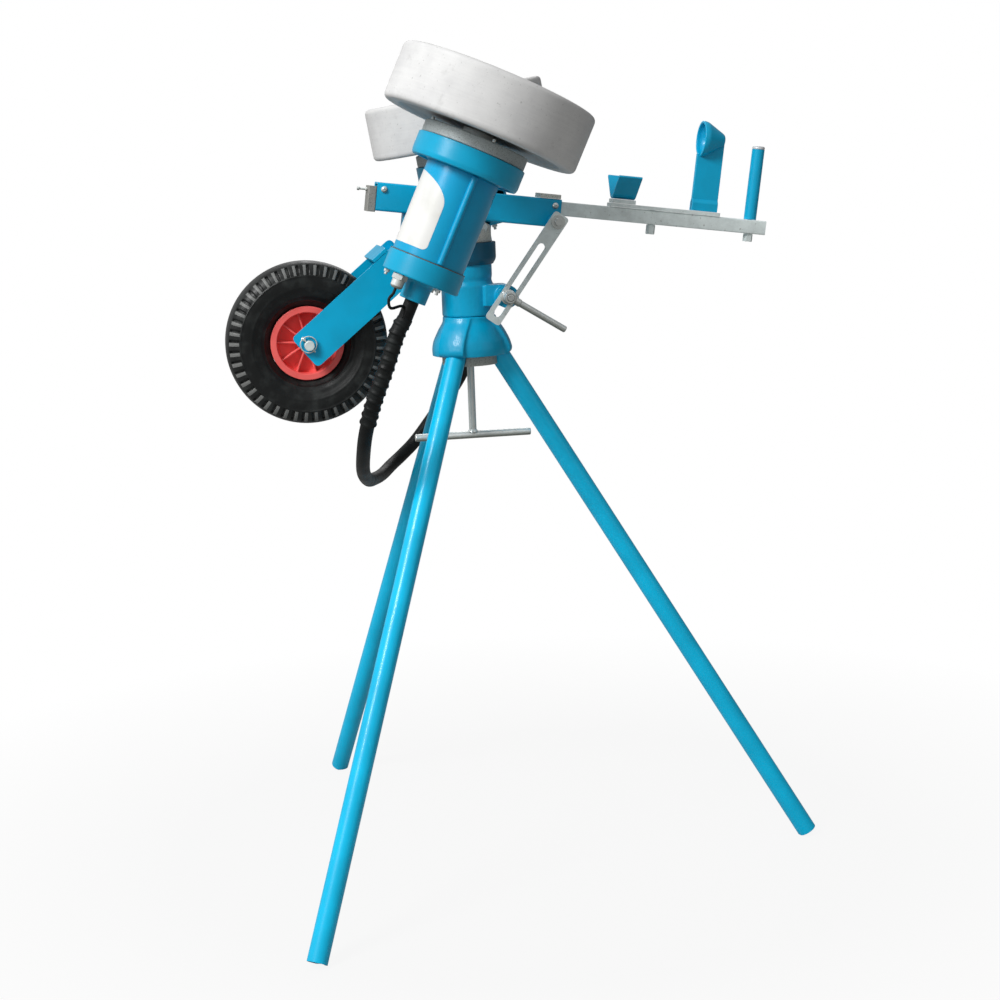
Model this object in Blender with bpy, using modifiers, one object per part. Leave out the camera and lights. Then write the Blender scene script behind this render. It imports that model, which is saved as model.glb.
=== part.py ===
"""Football throwing machine: two motor driven wheels on a tilting beam, on a tripod.

Metres, +Z up. It throws towards -X, and -Y is the side of the near wheel. The tripod
column stands on the Z axis until the last step, which moves the whole machine so that
the middle of its footprint is at the origin.
"""
import bpy
import bmesh
from math import asin, atan2, cos, degrees, hypot, pi, radians, sin, tan
from mathutils import Matrix, Vector

# General sizes
GAP = 0.0003                # gap between pieces that touch
RUN = 0.001                 # running clearance beside a part that turns
PAST = 0.010                # how far a cutting shape reaches past what it cuts
MERGE = 0.00001             # merge distance
WHEEL_SIDES = 48            # sides of a wheel
ROUND_SIDES = 32            # sides of a large round piece
SMALL_SIDES = 16            # sides of a small round piece

# Tripod
LEG_TUBE = 0.03175          # outer diameter of a leg
LEG_WALL = 0.002
LEG_ANGLE = 30.64           # from the vertical, degrees
LEG_TOP_RADIUS = 0.0315     # from the column to the leg's axis at its top end
LEG_IN_HEAD = 0.0255        # the top end's height above the head's lower face
LEG_FOOT_FLAT = 0.002       # the square cut end loses this much to stand flat
LEG_AZIMUTHS = {"near": -127.4, "right": -7.4, "far": 112.6}

# Tripod head, the casting that takes the legs
HEAD_BOTTOM_Z = 0.8395
HEAD_HEIGHT = 0.0625
HEAD_TOP_RADIUS = 0.043
HEAD_FLARE_RADIUS = 0.069
HEAD_LOBE_WIDTH = 0.046
# The skirt's profile: shares of the flare outwards and of the head's height upwards
HEAD_SKIRT = [(0.0, 1.0), (0.12, 0.88), (0.55, 0.70), (0.95, 0.40), (1.0, 0.20), (0.92, 0.08),
              (0.70, 0.0)]
HEAD_CORE_RADIUS = 0.0415   # between the lobes
HEAD_BORE_RADIUS = 0.0143   # takes the turret's spigot
SPIGOT_DEPTH = 0.022

# Clamp disc and T handle under the head
DISC_THICKNESS = 0.0155
DISC_RADIUS = 0.045
T_ROD = 0.012
T_BAR_DROP = 0.1315         # from the head's lower face
T_BAR_LENGTH = 0.190
T_ROD_IN_TURRET = 0.024

# Turret
TURRET_RADIUS = 0.042
DRUM_HEIGHT = 0.048
DRUM_CHAMFER = 0.003
NECK_RADIUS = 0.040
NECK_HEIGHT = 0.033         # from the drum to the collar
COLLAR_HEIGHT = 0.035
COLLAR_RADIUS = 0.0475

# Tilt pivot, and the block and tongue round it
PIVOT_X = 0.0245
PIVOT_HEIGHT = 0.024        # above the collar
REST_ELEVATION = 8.0        # degrees, throw end up
TILT_UP = 20.0              # degrees from the rest pose
BLOCK_RADIUS = 0.041
BLOCK_ABOVE_PIVOT = 0.0083
TONGUE_WIDTH = 0.018
TONGUE_RADIUS = 0.016
PIVOT_PIN = 0.008
PIN_HEAD = 0.013
PIN_HEAD_THICKNESS = 0.004

# Beam and rail, measured in the beam's frame: X along the beam, Z square to it
FRAME_X = 0.0045            # beam frame's origin from the pivot
FRAME_Z = 0.0005
BEAM_SIZE = 0.04445
BEAM_WALL = 0.003
BEAM_LEFT = -0.177
BEAM_RIGHT = 0.119
BEAM_AXIS_Z = 0.0313
RAIL_SIZE = 0.0222
RAIL_WALL = 0.0025
RAIL_LEFT = -0.060
RAIL_RIGHT = 0.461
PLATE_LEFT = 0.083
PLATE_LENGTH = 0.034
PLATE_THICKNESS = 0.007
SCREW_RIGHT_X = 0.109
SCREW_LEFT_X = -0.166
SCREW_SHANK = 0.005
SCREW_HEAD = 0.010
SCREW_HEAD_THICKNESS = 0.004
SCREW_Z = 0.0430
COVER_THICKNESS = 0.013
COVER_BOTTOM = 0.007
COVER_TOP = 0.047
KNOB_LENGTH = 0.016
KNOB_DIAMETER = 0.006
KNOB_Z = 0.041

# Slotted link and its clamp, on the near side
LINK_INNER_Y = 0.060        # from the middle plane to the link's inner face
LINK_THICKNESS = 0.004
LINK_WIDTH = 0.0266
LINK_ABOVE_BOLT = 0.013
LINK_BELOW_BOLT = 0.187
SLOT_WIDTH = 0.0124
SLOT_TOP = 0.041
SLOT_BOTTOM = 0.177
LINK_BOLT_X = 0.1074        # the link's bolt, in the beam's frame
LINK_BOLT_Z = 0.0188
STUD_X = 0.0548             # the clamp stud, from the column and the head's top
STUD_HEIGHT = 0.0306
LINK_BOLT = 0.008
BOLT_WASHER = 0.022
BOLT_HEAD = 0.013
BOLT_HEAD_THICKNESS = 0.006
SPACER_DIAMETER = 0.020
STUD_DIAMETER = 0.011
STUD_OUT = 0.029
LUG_RADIUS = 0.018
LUG_INNER_Y = 0.005
LEVER_HUB = 0.024
LEVER_HUB_LENGTH = 0.023
LEVER_ROD = 0.0105
LEVER_LENGTH = 0.104
LEVER_DROP = 32.4           # degrees below the horizontal

# Carriage on the rail
CARRIAGE_LEFT = 0.200
CARRIAGE_RIGHT = 0.382
CARRIAGE_THICKNESS = 0.0057
CARRIAGE_WIDTH = 0.026
CARRIAGE_FORWARD = 0.075
CARRIAGE_BACK = 0.040
CRADLE_LEFT = 0.203
CRADLE_LENGTH = 0.038
CRADLE_BASE_HEIGHT = 0.0065
CRADLE_BASE_WIDTH = 0.028
CRADLE_HALF_WIDTH = 0.040
CRADLE_SLOPE = 45.0         # degrees, of each wing
CRADLE_FOLD = 0.014         # radius of the fold between the wings
CRADLE_SHEET = 0.004
CUP_RADIUS = 0.0285
CUP_WAIST_RADIUS = 0.0278
CUP_FLOOR_RADIUS = 0.009
CUP_WAIST = 0.2             # share of the cup's length from its rim
CUP_AXIS_Z = 0.1705
CUP_FRONT = 0.339
CUP_LENGTH = 0.039
CUP_WALL = 0.004
POST_LEFT = 0.3355
POST_MARGIN = 0.004         # from the foot to the end of the slide bar
POST_THICKNESS = 0.008
POST_FOOT_HEIGHT = 0.019
POST_FOOT_WIDTH = 0.016
GUIDE_STUD_X = 0.273
GUIDE_STUD = 0.008
NUT_WIDTH = 0.015
NUT_HEIGHT = 0.0155

# Aiming handle at the end of the rail
HANDLE_X = 0.436
HANDLE_TUBE = 0.020
HANDLE_WALL = 0.002
HANDLE_TOP = 0.1626
PLUG_HEIGHT = 0.005
PLUG_DEPTH = 0.015
HANDLE_BOLT = 0.008
HANDLE_NUT_WIDTH = 0.016
HANDLE_NUT_HEIGHT = 0.0125

# Throwing wheels and motors, measured down the shaft from the wheel's middle
NEAR_WHEEL_X = -0.0463
FAR_WHEEL_X = -0.0248
WHEEL_Y = 0.228
NEAR_WHEEL_Z = 0.1753
FAR_WHEEL_Z = 0.1705
WHEEL_CANT = 16.8           # degrees, the near one leans back and the far one forward
WHEEL_RADIUS = 0.151
WHEEL_HALF_WIDTH = 0.0434
WHEEL_CORNER = 0.008
WHEEL_DISH_RADIUS = 0.122
WHEEL_DISH_DEPTH = 0.005
HUB_RADIUS = 0.026
HUB_PLATE_RADIUS = 0.034
HUB_PLATE = 0.004
SHAFT_RADIUS = 0.0085
BELL_TOP = 0.0484
BELL_HEIGHT = 0.0187
BELL_RADIUS = 0.0805
BELL_BORE = 0.032
FLANGE_TOP = 0.0674
FLANGE_HEIGHT = 0.0335
FLANGE_RADIUS = 0.0835
BODY_RADIUS = 0.056
BODY_WALL = 0.004
NEAR_BODY_LENGTH = 0.1375
FAR_BODY_LENGTH = 0.0620
CAP_RADIUS = 0.0595
NEAR_CAP_HEIGHT = 0.0330
FAR_CAP_HEIGHT = 0.0200
BOSS_RADIUS = 0.021
BOSS_LENGTH = 0.030
BOSS_BORE = 0.009
BEARING_RADIUS = 0.020
BEARING_HEIGHT = 0.012
MAGNET_THICKNESS = 0.008
MAGNET_END = 0.007          # from the magnets to either end of the housing
WINDING_END = 0.009         # from the armature to either end of the housing
ROTOR_CLEARANCE = 0.0015
BRACKET_WIDTH = 0.050
BRACKET_HEIGHT = 0.038
BRACKET_WALL = 0.004
NEAR_BRACKET_DOWN = 0.1414
FAR_BRACKET_DOWN = 0.1364

# Transport wheel and its fork, measured in the beam's frame
AXLE_X = -0.266
AXLE_Z = -0.207
FORK_TOP_X = -0.135
FORK_TOP_Z = -0.066
FORK_INNER_Y = 0.055
FORK_THICKNESS = 0.005
FORK_WIDTH = 0.061
FORK_END = 0.0135           # from the axle to the plate's lower end
FORK_TOP_END = 0.0195       # from the crosshead's middle to the plate's top end
FORK_CORNER = 0.009
FORK_DROP = 0.0045          # from the axle down to the plates' middle line
STRAP_THICKNESS = 0.006
STRAP_WIDTH = 0.028
STRAP_FROM_TYRE = 0.033     # from the tyre to the strap, along the fork
CROSSHEAD_SIZE = 0.028
STEM_SIZE = 0.026
STEM_TOP_X = -0.118
TYRE_RADIUS = 0.129
TYRE_HALF_WIDTH = 0.0425
RIM_RADIUS = 0.0585
RIM_HALF_WIDTH = 0.026
RIM_WALL = 0.010
RIM_WEB = 0.006
RIM_RIBS = 10
HUB_TUBE_RADIUS = 0.014
AXLE_DIAMETER = 0.016
AXLE_OUT = 0.012            # beyond the fork plate
AXLE_WASHER = 0.028
AXLE_WASHER_THICKNESS = 0.0025
SPLIT_PIN = 0.0032

# Hose between the two motors, in the world before the last step
HOSE_RADIUS = 0.0115
HOSE_BORE = 0.0070
RIB_HIGH = 0.0136
RIB_LOW = 0.0119
RIB_COUNT = 13
RIB_PITCH = 0.0135
HOSE_STEP = 0.028
CURVE_STEPS = 40            # points worked out between two of the route's own
HOSE_LEAD = 0.028           # straight run out of each boss
HOSE_ROUTE = [(-0.143, -0.228, 0.902), (-0.163, -0.222, 0.847), (-0.181, -0.208, 0.798),
              (-0.192, -0.188, 0.755), (-0.195, -0.155, 0.718), (-0.190, -0.080, 0.673),
              (-0.171, 0.040, 0.638), (-0.151, 0.135, 0.623), (-0.130, 0.205, 0.618),
              (-0.108, 0.250, 0.626), (-0.084, 0.275, 0.640), (-0.057, 0.287, 0.663),
              (-0.018, 0.285, 0.713), (0.021, 0.274, 0.768), (0.042, 0.263, 0.816),
              (0.054, 0.252, 0.868), (0.061, 0.241, 0.928)]


# Scene, collections and materials

for old in list(bpy.data.objects):
    bpy.data.objects.remove(old, do_unlink=True)

PARTS = bpy.data.collections.new("football_throwing_machine")
CUTTERS = bpy.data.collections.new("cutters")
bpy.context.scene.collection.children.link(PARTS)
bpy.context.scene.collection.children.link(CUTTERS)


def material(name, colour, roughness, metallic):
    """A Principled material with one colour."""
    made = bpy.data.materials.new(name)
    made.use_nodes = True
    shader = made.node_tree.nodes["Principled BSDF"]
    shader.inputs["Base Color"].default_value = (*colour, 1.0)
    shader.inputs["Roughness"].default_value = roughness
    shader.inputs["Metallic"].default_value = metallic
    made.diffuse_color = (*colour, 1.0)
    return made


BLUE = material("blue_paint", (0.0, 0.33, 0.55), 0.35, 0.0)
DARK_BLUE = material("dark_blue_paint", (0.0, 0.17, 0.32), 0.4, 0.0)
MOTOR_BLUE = material("motor_blue", (0.01, 0.22, 0.40), 0.3, 0.4)
ZINC = material("zinc_plate", (0.50, 0.55, 0.53), 0.45, 0.9)
CHROME = material("bright_steel", (0.72, 0.73, 0.72), 0.2, 1.0)
CAST = material("grey_casting", (0.42, 0.43, 0.41), 0.7, 0.6)
WHEEL = material("pale_urethane", (0.72, 0.72, 0.70), 0.75, 0.0)
RUBBER = material("black_rubber", (0.012, 0.012, 0.012), 0.8, 0.0)
RED = material("red_plastic", (0.62, 0.03, 0.04), 0.45, 0.0)
GREY = material("grey_plastic", (0.25, 0.26, 0.27), 0.6, 0.0)


# Frames: an empty for each body, on its joint's axis

def frame(name, parent, location=(0.0, 0.0, 0.0), turn_y=0.0, turn_z=0.0):
    """An empty that carries one body; its turns are in degrees."""
    empty = bpy.data.objects.new(name, None)
    CUTTERS.objects.link(empty)
    empty.parent = parent
    empty.location = location
    empty.rotation_euler = (0.0, radians(turn_y), radians(turn_z))
    return empty


# Shapes

def add_mesh(name, shape, parent, look):
    """A new object in the parts collection from a bmesh."""
    mesh = bpy.data.meshes.new(name)
    bmesh.ops.recalc_face_normals(shape, faces=shape.faces)
    shape.to_mesh(mesh)
    shape.free()
    made = bpy.data.objects.new(name, mesh)
    PARTS.objects.link(made)
    made.parent = parent
    if look is not None:
        mesh.materials.append(look)
    return made


def smooth(made, angle=35.0):
    """Shades a round piece smooth up to an edge angle."""
    made.data.shade_smooth()
    made.data.set_sharp_from_angle(angle=radians(angle))
    return made


def box(name, low, high, parent, look=None, turn_y=0.0, centre_turn=None):
    """A box from its low corner to its high one, then turned about Y where asked."""
    shape = bmesh.new()
    bmesh.ops.create_cube(shape, size=1.0)
    size = [b - a for a, b in zip(low, high)]
    middle = [(a + b) / 2 for a, b in zip(low, high)]
    bmesh.ops.scale(shape, vec=size, verts=shape.verts)
    bmesh.ops.translate(shape, vec=middle, verts=shape.verts)
    if turn_y:
        turn = Matrix.Rotation(radians(turn_y), 4, "Y")
        about = Vector(centre_turn or middle)
        bmesh.ops.transform(shape, verts=shape.verts,
                            matrix=Matrix.Translation(about) @ turn @ Matrix.Translation(-about))
    return add_mesh(name, shape, parent, look)


def rod(name, start, end, radius, parent, look=None, sides=SMALL_SIDES, end_radius=None):
    """A solid cylinder or cone between two points."""
    start = Vector(start)
    end = Vector(end)
    along = end - start
    shape = bmesh.new()
    bmesh.ops.create_cone(shape, cap_ends=True, segments=sides, radius1=radius,
                          radius2=radius if end_radius is None else end_radius,
                          depth=along.length)
    aim = along.to_track_quat("Z", "Y").to_matrix().to_4x4()
    bmesh.ops.transform(shape, verts=shape.verts,
                        matrix=Matrix.Translation((start + end) / 2) @ aim)
    return smooth(add_mesh(name, shape, parent, look))


def turned(name, profile, parent, look=None, sides=ROUND_SIDES, along_y=False):
    """A profile of (radius, height) turned about the Z or the Y axis by a Screw modifier.

    A profile that starts and ends on the axis makes a solid, any other a ring. It runs
    top to bottom on its outer side."""
    mesh = bpy.data.meshes.new(name)
    corners = [(r, h, 0.0) if along_y else (r, 0.0, h) for r, h in profile]
    pairs = [(i, i + 1) for i in range(len(corners) - 1)]
    if profile[0][0] > 0.0:
        pairs.append((len(corners) - 1, 0))
    mesh.from_pydata(corners, pairs, [])
    made = bpy.data.objects.new(name, mesh)
    PARTS.objects.link(made)
    made.parent = parent
    if look is not None:
        mesh.materials.append(look)
    step = made.modifiers.new("turn", "SCREW")
    step.axis = "Y" if along_y else "Z"
    step.steps = sides
    step.render_steps = sides
    step.use_merge_vertices = True
    step.merge_threshold = MERGE
    step.use_smooth_shade = True
    return made


def outline(name, points, low_y, high_y, parent, look=None):
    """A flat plate in the XZ plane: a filled outline from one Y to another."""
    curve = bpy.data.curves.new(name, "CURVE")
    curve.dimensions = "2D"
    curve.fill_mode = "BOTH"
    curve.extrude = (high_y - low_y) / 2
    spline = curve.splines.new("POLY")
    spline.points.add(len(points) - 1)
    for point, (x, z) in zip(spline.points, points):
        point.co = (x, z, 0.0, 1.0)
    spline.use_cyclic_u = True
    made = bpy.data.objects.new(name, curve)
    PARTS.objects.link(made)
    made.rotation_euler = (radians(90), 0.0, 0.0)
    made.location = (0.0, (low_y + high_y) / 2, 0.0)
    return to_mesh(made, parent, look)


def to_mesh(curve_object, parent, look):
    """A curve object as a welded mesh in its parent's frame."""
    bpy.context.view_layer.update()
    evaluated = curve_object.evaluated_get(bpy.context.evaluated_depsgraph_get())
    mesh = bpy.data.meshes.new_from_object(evaluated)
    shape = bmesh.new()
    shape.from_mesh(mesh)
    bmesh.ops.transform(shape, verts=shape.verts, matrix=curve_object.matrix_world)
    bmesh.ops.remove_doubles(shape, verts=shape.verts, dist=MERGE)
    name = curve_object.name
    bpy.data.objects.remove(curve_object, do_unlink=True)
    made = add_mesh(name, shape, parent, look)
    made.name = name
    return made


def boolean(made, other, operation):
    """Keeps the other shape as a hidden tool of a Boolean modifier."""
    PARTS.objects.unlink(other)
    CUTTERS.objects.link(other)
    other.hide_render = True
    other.display_type = "WIRE"
    step = made.modifiers.new(operation.lower() + "_" + other.name, "BOOLEAN")
    step.operation = operation
    step.object = other
    step.solver = "EXACT"
    return made


def cut(made, other):
    return boolean(made, other, "DIFFERENCE")


def join(made, other):
    return boolean(made, other, "UNION")


def keep(made, other):
    return boolean(made, other, "INTERSECT")


def arc(cx, cz, radius, start, end, steps):
    """Points on a round stretch of an outline, angles in degrees."""
    turns = [radians(start + (end - start) * i / steps) for i in range(steps + 1)]
    return [(cx + radius * cos(a), cz + radius * sin(a)) for a in turns]


def slotted(first, second, radius, steps=8):
    """The outline of a slot or round ended bar between two centres in XZ."""
    along = degrees(atan2(second[1] - first[1], second[0] - first[0]))
    return (arc(*first, radius, along + 90, along + 270, steps)
            + arc(*second, radius, along - 90, along + 90, steps))


def ring(outer, inner, low, high):
    """The profile of a plain ring, top to bottom on its outer side."""
    return [(outer, high), (outer, low), (inner, low), (inner, high)]


# Tripod

machine = frame("machine", None)
head_top_z = HEAD_BOTTOM_Z + HEAD_HEIGHT
leg_top_z = HEAD_BOTTOM_Z + LEG_IN_HEAD
leg_floor_radius = LEG_TOP_RADIUS + leg_top_z * tan(radians(LEG_ANGLE))


def leg_frame(side):
    """An empty at the floor end of a leg's axis, its Z up along the leg."""
    turn = radians(LEG_AZIMUTHS[side])
    foot = (leg_floor_radius * cos(turn), leg_floor_radius * sin(turn), 0.0)
    return frame(side + "_leg_frame", machine, foot, turn_y=-LEG_ANGLE, turn_z=LEG_AZIMUTHS[side])


leg_frames = {side: leg_frame(side) for side in LEG_AZIMUTHS}
leg_length = leg_top_z / cos(radians(LEG_ANGLE))
leg_radius = LEG_TUBE / 2
# A square cut end reaches below its centre by this much along the leg
leg_foot_up = leg_radius * tan(radians(LEG_ANGLE)) - LEG_FOOT_FLAT / cos(radians(LEG_ANGLE))


def leg(side):
    """A leg tube, cut square, with a small flat where it stands."""
    place = leg_frames[side]
    made = turned("leg_" + side, ring(leg_radius, leg_radius - LEG_WALL, leg_foot_up, leg_length),
                  place, BLUE, sides=SMALL_SIDES)
    reach = 4 * leg_radius
    floor = box("floor_cut_" + side, (-reach, -reach, -reach), (reach, reach, 0.0), place,
                turn_y=LEG_ANGLE, centre_turn=(0.0, 0.0, 0.0))
    return cut(made, floor)


def tripod_head():
    """A flared casting with three sockets, a turned skirt round three lobes."""
    made = rod("tripod_head", (0, 0, HEAD_BOTTOM_Z - PAST), (0, 0, head_top_z + PAST),
               HEAD_CORE_RADIUS, machine, BLUE, ROUND_SIDES)
    for side, azimuth in LEG_AZIMUTHS.items():
        place = frame("lobe_frame_" + side, machine, turn_z=azimuth)
        lobe = box("lobe_" + side, (PAST, -HEAD_LOBE_WIDTH / 2, HEAD_BOTTOM_Z - 2 * PAST),
                   (HEAD_FLARE_RADIUS + PAST, HEAD_LOBE_WIDTH / 2, head_top_z + 2 * PAST), place)
        join(made, lobe)
    swell = HEAD_FLARE_RADIUS - HEAD_TOP_RADIUS
    skirt = [(0.0, head_top_z)]
    skirt += [(HEAD_TOP_RADIUS + swell * out, HEAD_BOTTOM_Z + HEAD_HEIGHT * up)
              for out, up in HEAD_SKIRT]
    skirt += [(0.0, HEAD_BOTTOM_Z)]
    keep(made, turned("head_skirt", skirt, machine))
    for side, place in leg_frames.items():
        socket = rod("socket_" + side, (0, 0, leg_length / 2), (0, 0, leg_length + GAP),
                     leg_radius + GAP, place)
        cut(made, socket)
    spigot = rod("spigot_bore", (0, 0, head_top_z - SPIGOT_DEPTH - GAP), (0, 0, head_top_z + PAST),
                 HEAD_BORE_RADIUS, machine)
    cut(made, spigot)
    bore = rod("t_rod_bore", (0, 0, HEAD_BOTTOM_Z - PAST), (0, 0, head_top_z),
               T_ROD / 2 + GAP, machine)
    return cut(made, bore)


def clamp_disc():
    """The disc under the head, notched round the legs."""
    top = HEAD_BOTTOM_Z - GAP
    made = turned("clamp_disc", ring(DISC_RADIUS, T_ROD / 2 + GAP, top - DISC_THICKNESS, top),
                  machine, CAST)
    for side, place in leg_frames.items():
        notch = rod("disc_notch_" + side, (0, 0, leg_length / 2), (0, 0, leg_length),
                    leg_radius + RUN, place)
        cut(made, notch)
    return made


# Turret

turret_axis = frame("turret_axis", machine, (0.0, 0.0, head_top_z))
t_axis = frame("t_handle_axis", machine, (0.0, 0.0, HEAD_BOTTOM_Z - T_BAR_DROP))
# Heights above the head's top, which the turret's own frame measures from
collar_bottom = DRUM_HEIGHT + NECK_HEIGHT
collar_top = collar_bottom + COLLAR_HEIGHT
pivot_z = collar_top + PIVOT_HEIGHT
stud_outer_y = LINK_INNER_Y + STUD_OUT


def t_handle():
    """The T handle: a cross bar and the screw that it turns."""
    rod_top = T_BAR_DROP + HEAD_HEIGHT - SPIGOT_DEPTH + T_ROD_IN_TURRET
    made = rod("t_handle", (0, 0, 0), (0, 0, rod_top), T_ROD / 2, t_axis, CHROME)
    bar = rod("t_bar", (-T_BAR_LENGTH / 2, 0, 0), (T_BAR_LENGTH / 2, 0, 0), T_ROD / 2, t_axis)
    return join(made, bar)


def turret_body():
    """The swivelling casting: spigot, drum, neck and the lug of the clamp."""
    screw_top = T_ROD_IN_TURRET - SPIGOT_DEPTH + RUN
    profile = [(0.0, collar_top), (NECK_RADIUS, collar_top), (NECK_RADIUS, DRUM_HEIGHT + DRUM_CHAMFER),
               (TURRET_RADIUS, DRUM_HEIGHT), (TURRET_RADIUS, GAP),
               (HEAD_BORE_RADIUS - GAP, GAP), (HEAD_BORE_RADIUS - GAP, -SPIGOT_DEPTH),
               (T_ROD / 2 + GAP, -SPIGOT_DEPTH), (T_ROD / 2 + GAP, screw_top), (0.0, screw_top)]
    made = turned("turret_body", profile, turret_axis, BLUE)
    lug_outer = LINK_INNER_Y - GAP
    arm = box("lug_arm", (NECK_RADIUS / 2, -lug_outer * 0.7, STUD_HEIGHT - LUG_RADIUS * 0.8),
              (STUD_X, LUG_INNER_Y, STUD_HEIGHT + LUG_RADIUS), turret_axis)
    join(made, arm)
    lug = rod("lug_boss", (STUD_X, LUG_INNER_Y, STUD_HEIGHT), (STUD_X, -lug_outer, STUD_HEIGHT), LUG_RADIUS,
              turret_axis, sides=ROUND_SIDES)
    join(made, lug)
    bore = rod("stud_bore", (STUD_X, LUG_INNER_Y + PAST, STUD_HEIGHT),
               (STUD_X, -lug_outer - PAST, STUD_HEIGHT),
               STUD_DIAMETER / 2 + GAP, turret_axis)
    return cut(made, bore)


def collar_band():
    return turned("collar_band", ring(COLLAR_RADIUS, NECK_RADIUS + GAP, collar_bottom, collar_top),
                  turret_axis, DARK_BLUE)


def clamp_stud():
    """The stud that the slotted link runs on, with its head behind the lug."""
    made = rod("clamp_stud", (STUD_X, LUG_INNER_Y + BOLT_HEAD_THICKNESS / 2, STUD_HEIGHT),
               (STUD_X, -stud_outer_y, STUD_HEIGHT), STUD_DIAMETER / 2, turret_axis, CHROME)
    head = rod("stud_head", (STUD_X, LUG_INNER_Y + GAP, STUD_HEIGHT),
               (STUD_X, LUG_INNER_Y + BOLT_HEAD_THICKNESS, STUD_HEIGHT), STUD_DIAMETER, turret_axis,
               sides=6)
    return join(made, head)


# The pin's head seats on a flat cut where the block's side has come in this far
pin_seat_y = BLOCK_RADIUS * cos(asin((PIVOT_X + PIN_HEAD / 2) / BLOCK_RADIUS))


def pivot_block():
    """The pale block on the neck, slotted for the tongue under the beam."""
    low = collar_top + GAP
    high = pivot_z + BLOCK_ABOVE_PIVOT
    made = rod("pivot_block", (0, 0, low), (0, 0, high), BLOCK_RADIUS, turret_axis, CAST,
               ROUND_SIDES)
    slot_half = TONGUE_WIDTH / 2 + GAP
    reach = 2 * BLOCK_RADIUS
    slot = box("tongue_slot", (-reach, -slot_half, pivot_z - TONGUE_RADIUS - RUN),
               (reach, slot_half, high + RUN), turret_axis)
    cut(made, slot)
    # The corner under the feed end is cut off, so that the beam can tilt up
    relief = box("tilt_relief", (PIVOT_X - reach, -reach, pivot_z + FRAME_Z + beam_bottom - RUN),
                 (PIVOT_X + reach, reach, pivot_z + reach), turret_axis,
                 turn_y=REST_ELEVATION + TILT_UP, centre_turn=(PIVOT_X, 0.0, pivot_z))
    cut(made, relief)
    pin_hole = rod("pin_hole", (PIVOT_X, -reach, pivot_z), (PIVOT_X, reach, pivot_z),
                   PIVOT_PIN / 2 + GAP, turret_axis)
    cut(made, pin_hole)
    seat = rod("pin_head_seat", (PIVOT_X, -reach, pivot_z), (PIVOT_X, -pin_seat_y, pivot_z),
               PIN_HEAD / 2 + RUN, turret_axis)
    return cut(made, seat)


def pivot_pin():
    """The tilt pin, with a head at the near end."""
    head_y = pin_seat_y + GAP
    made = rod("pivot_pin", (PIVOT_X, -head_y - PIN_HEAD_THICKNESS / 2, pivot_z),
               (PIVOT_X, pin_seat_y, pivot_z), PIVOT_PIN / 2, turret_axis, ZINC)
    head = rod("pin_head", (PIVOT_X, -head_y - PIN_HEAD_THICKNESS, pivot_z),
               (PIVOT_X, -head_y, pivot_z), PIN_HEAD / 2, turret_axis)
    return join(made, head)


# Beam, rail and what is fixed to them

beam_bottom = BEAM_AXIS_Z - BEAM_SIZE / 2
beam_top = BEAM_AXIS_Z + BEAM_SIZE / 2
beam_half = BEAM_SIZE / 2
rail_top = beam_top - BEAM_WALL - GAP
rail_bottom = rail_top - RAIL_SIZE
rail_half = RAIL_SIZE / 2
tilt_axis = frame("tilt_axis", turret_axis, (PIVOT_X, 0.0, pivot_z), turn_y=REST_ELEVATION)
beam_frame = frame("beam_frame", tilt_axis, (FRAME_X, 0.0, FRAME_Z))


def from_bolt_to_stud():
    """How far the clamp stud stands from the link's bolt along X and Z, at rest."""
    turn = radians(REST_ELEVATION)
    along = LINK_BOLT_X + FRAME_X
    up = LINK_BOLT_Z + FRAME_Z
    bolt_x = PIVOT_X + along * cos(turn) + up * sin(turn)
    bolt_z = pivot_z - along * sin(turn) + up * cos(turn)
    return STUD_X - bolt_x, STUD_HEIGHT - bolt_z


def beam_tube():
    """The square tube, with the pivot tongue welded under it."""
    made = box("beam_tube", (BEAM_LEFT, -beam_half, beam_bottom),
               (BEAM_RIGHT, beam_half, beam_top), beam_frame, BLUE)
    tongue_half = TONGUE_WIDTH / 2
    tongue = rod("tongue", (-FRAME_X, -tongue_half, -FRAME_Z), (-FRAME_X, tongue_half, -FRAME_Z),
                 TONGUE_RADIUS, beam_frame, sides=ROUND_SIDES)
    join(made, tongue)
    neck = box("tongue_neck", (-FRAME_X - TONGUE_RADIUS, -tongue_half, -FRAME_Z),
               (-FRAME_X + TONGUE_RADIUS, tongue_half, beam_bottom + BEAM_WALL / 2), beam_frame)
    join(made, neck)
    inner = beam_half - BEAM_WALL
    bore = box("beam_bore", (BEAM_LEFT - PAST, -inner, beam_bottom + BEAM_WALL),
               (BEAM_RIGHT + PAST, inner, beam_top - BEAM_WALL), beam_frame)
    cut(made, bore)
    pin_hole = rod("tongue_hole", (-FRAME_X, -beam_half, -FRAME_Z), (-FRAME_X, beam_half, -FRAME_Z),
                   PIVOT_PIN / 2 + GAP, beam_frame)
    cut(made, pin_hole)
    cut(made, rod("link_bolt_hole", (LINK_BOLT_X, -2 * beam_half, LINK_BOLT_Z),
                  (LINK_BOLT_X, 0.0, LINK_BOLT_Z),
                  LINK_BOLT / 2 + GAP, beam_frame))
    for side, x in (("right", SCREW_RIGHT_X), ("left", SCREW_LEFT_X)):
        cut(made, rod("screw_hole_" + side, (x, -2 * beam_half, SCREW_Z), (x, 0.0, SCREW_Z),
                      SCREW_SHANK / 2 + GAP, beam_frame))
    return made


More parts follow.
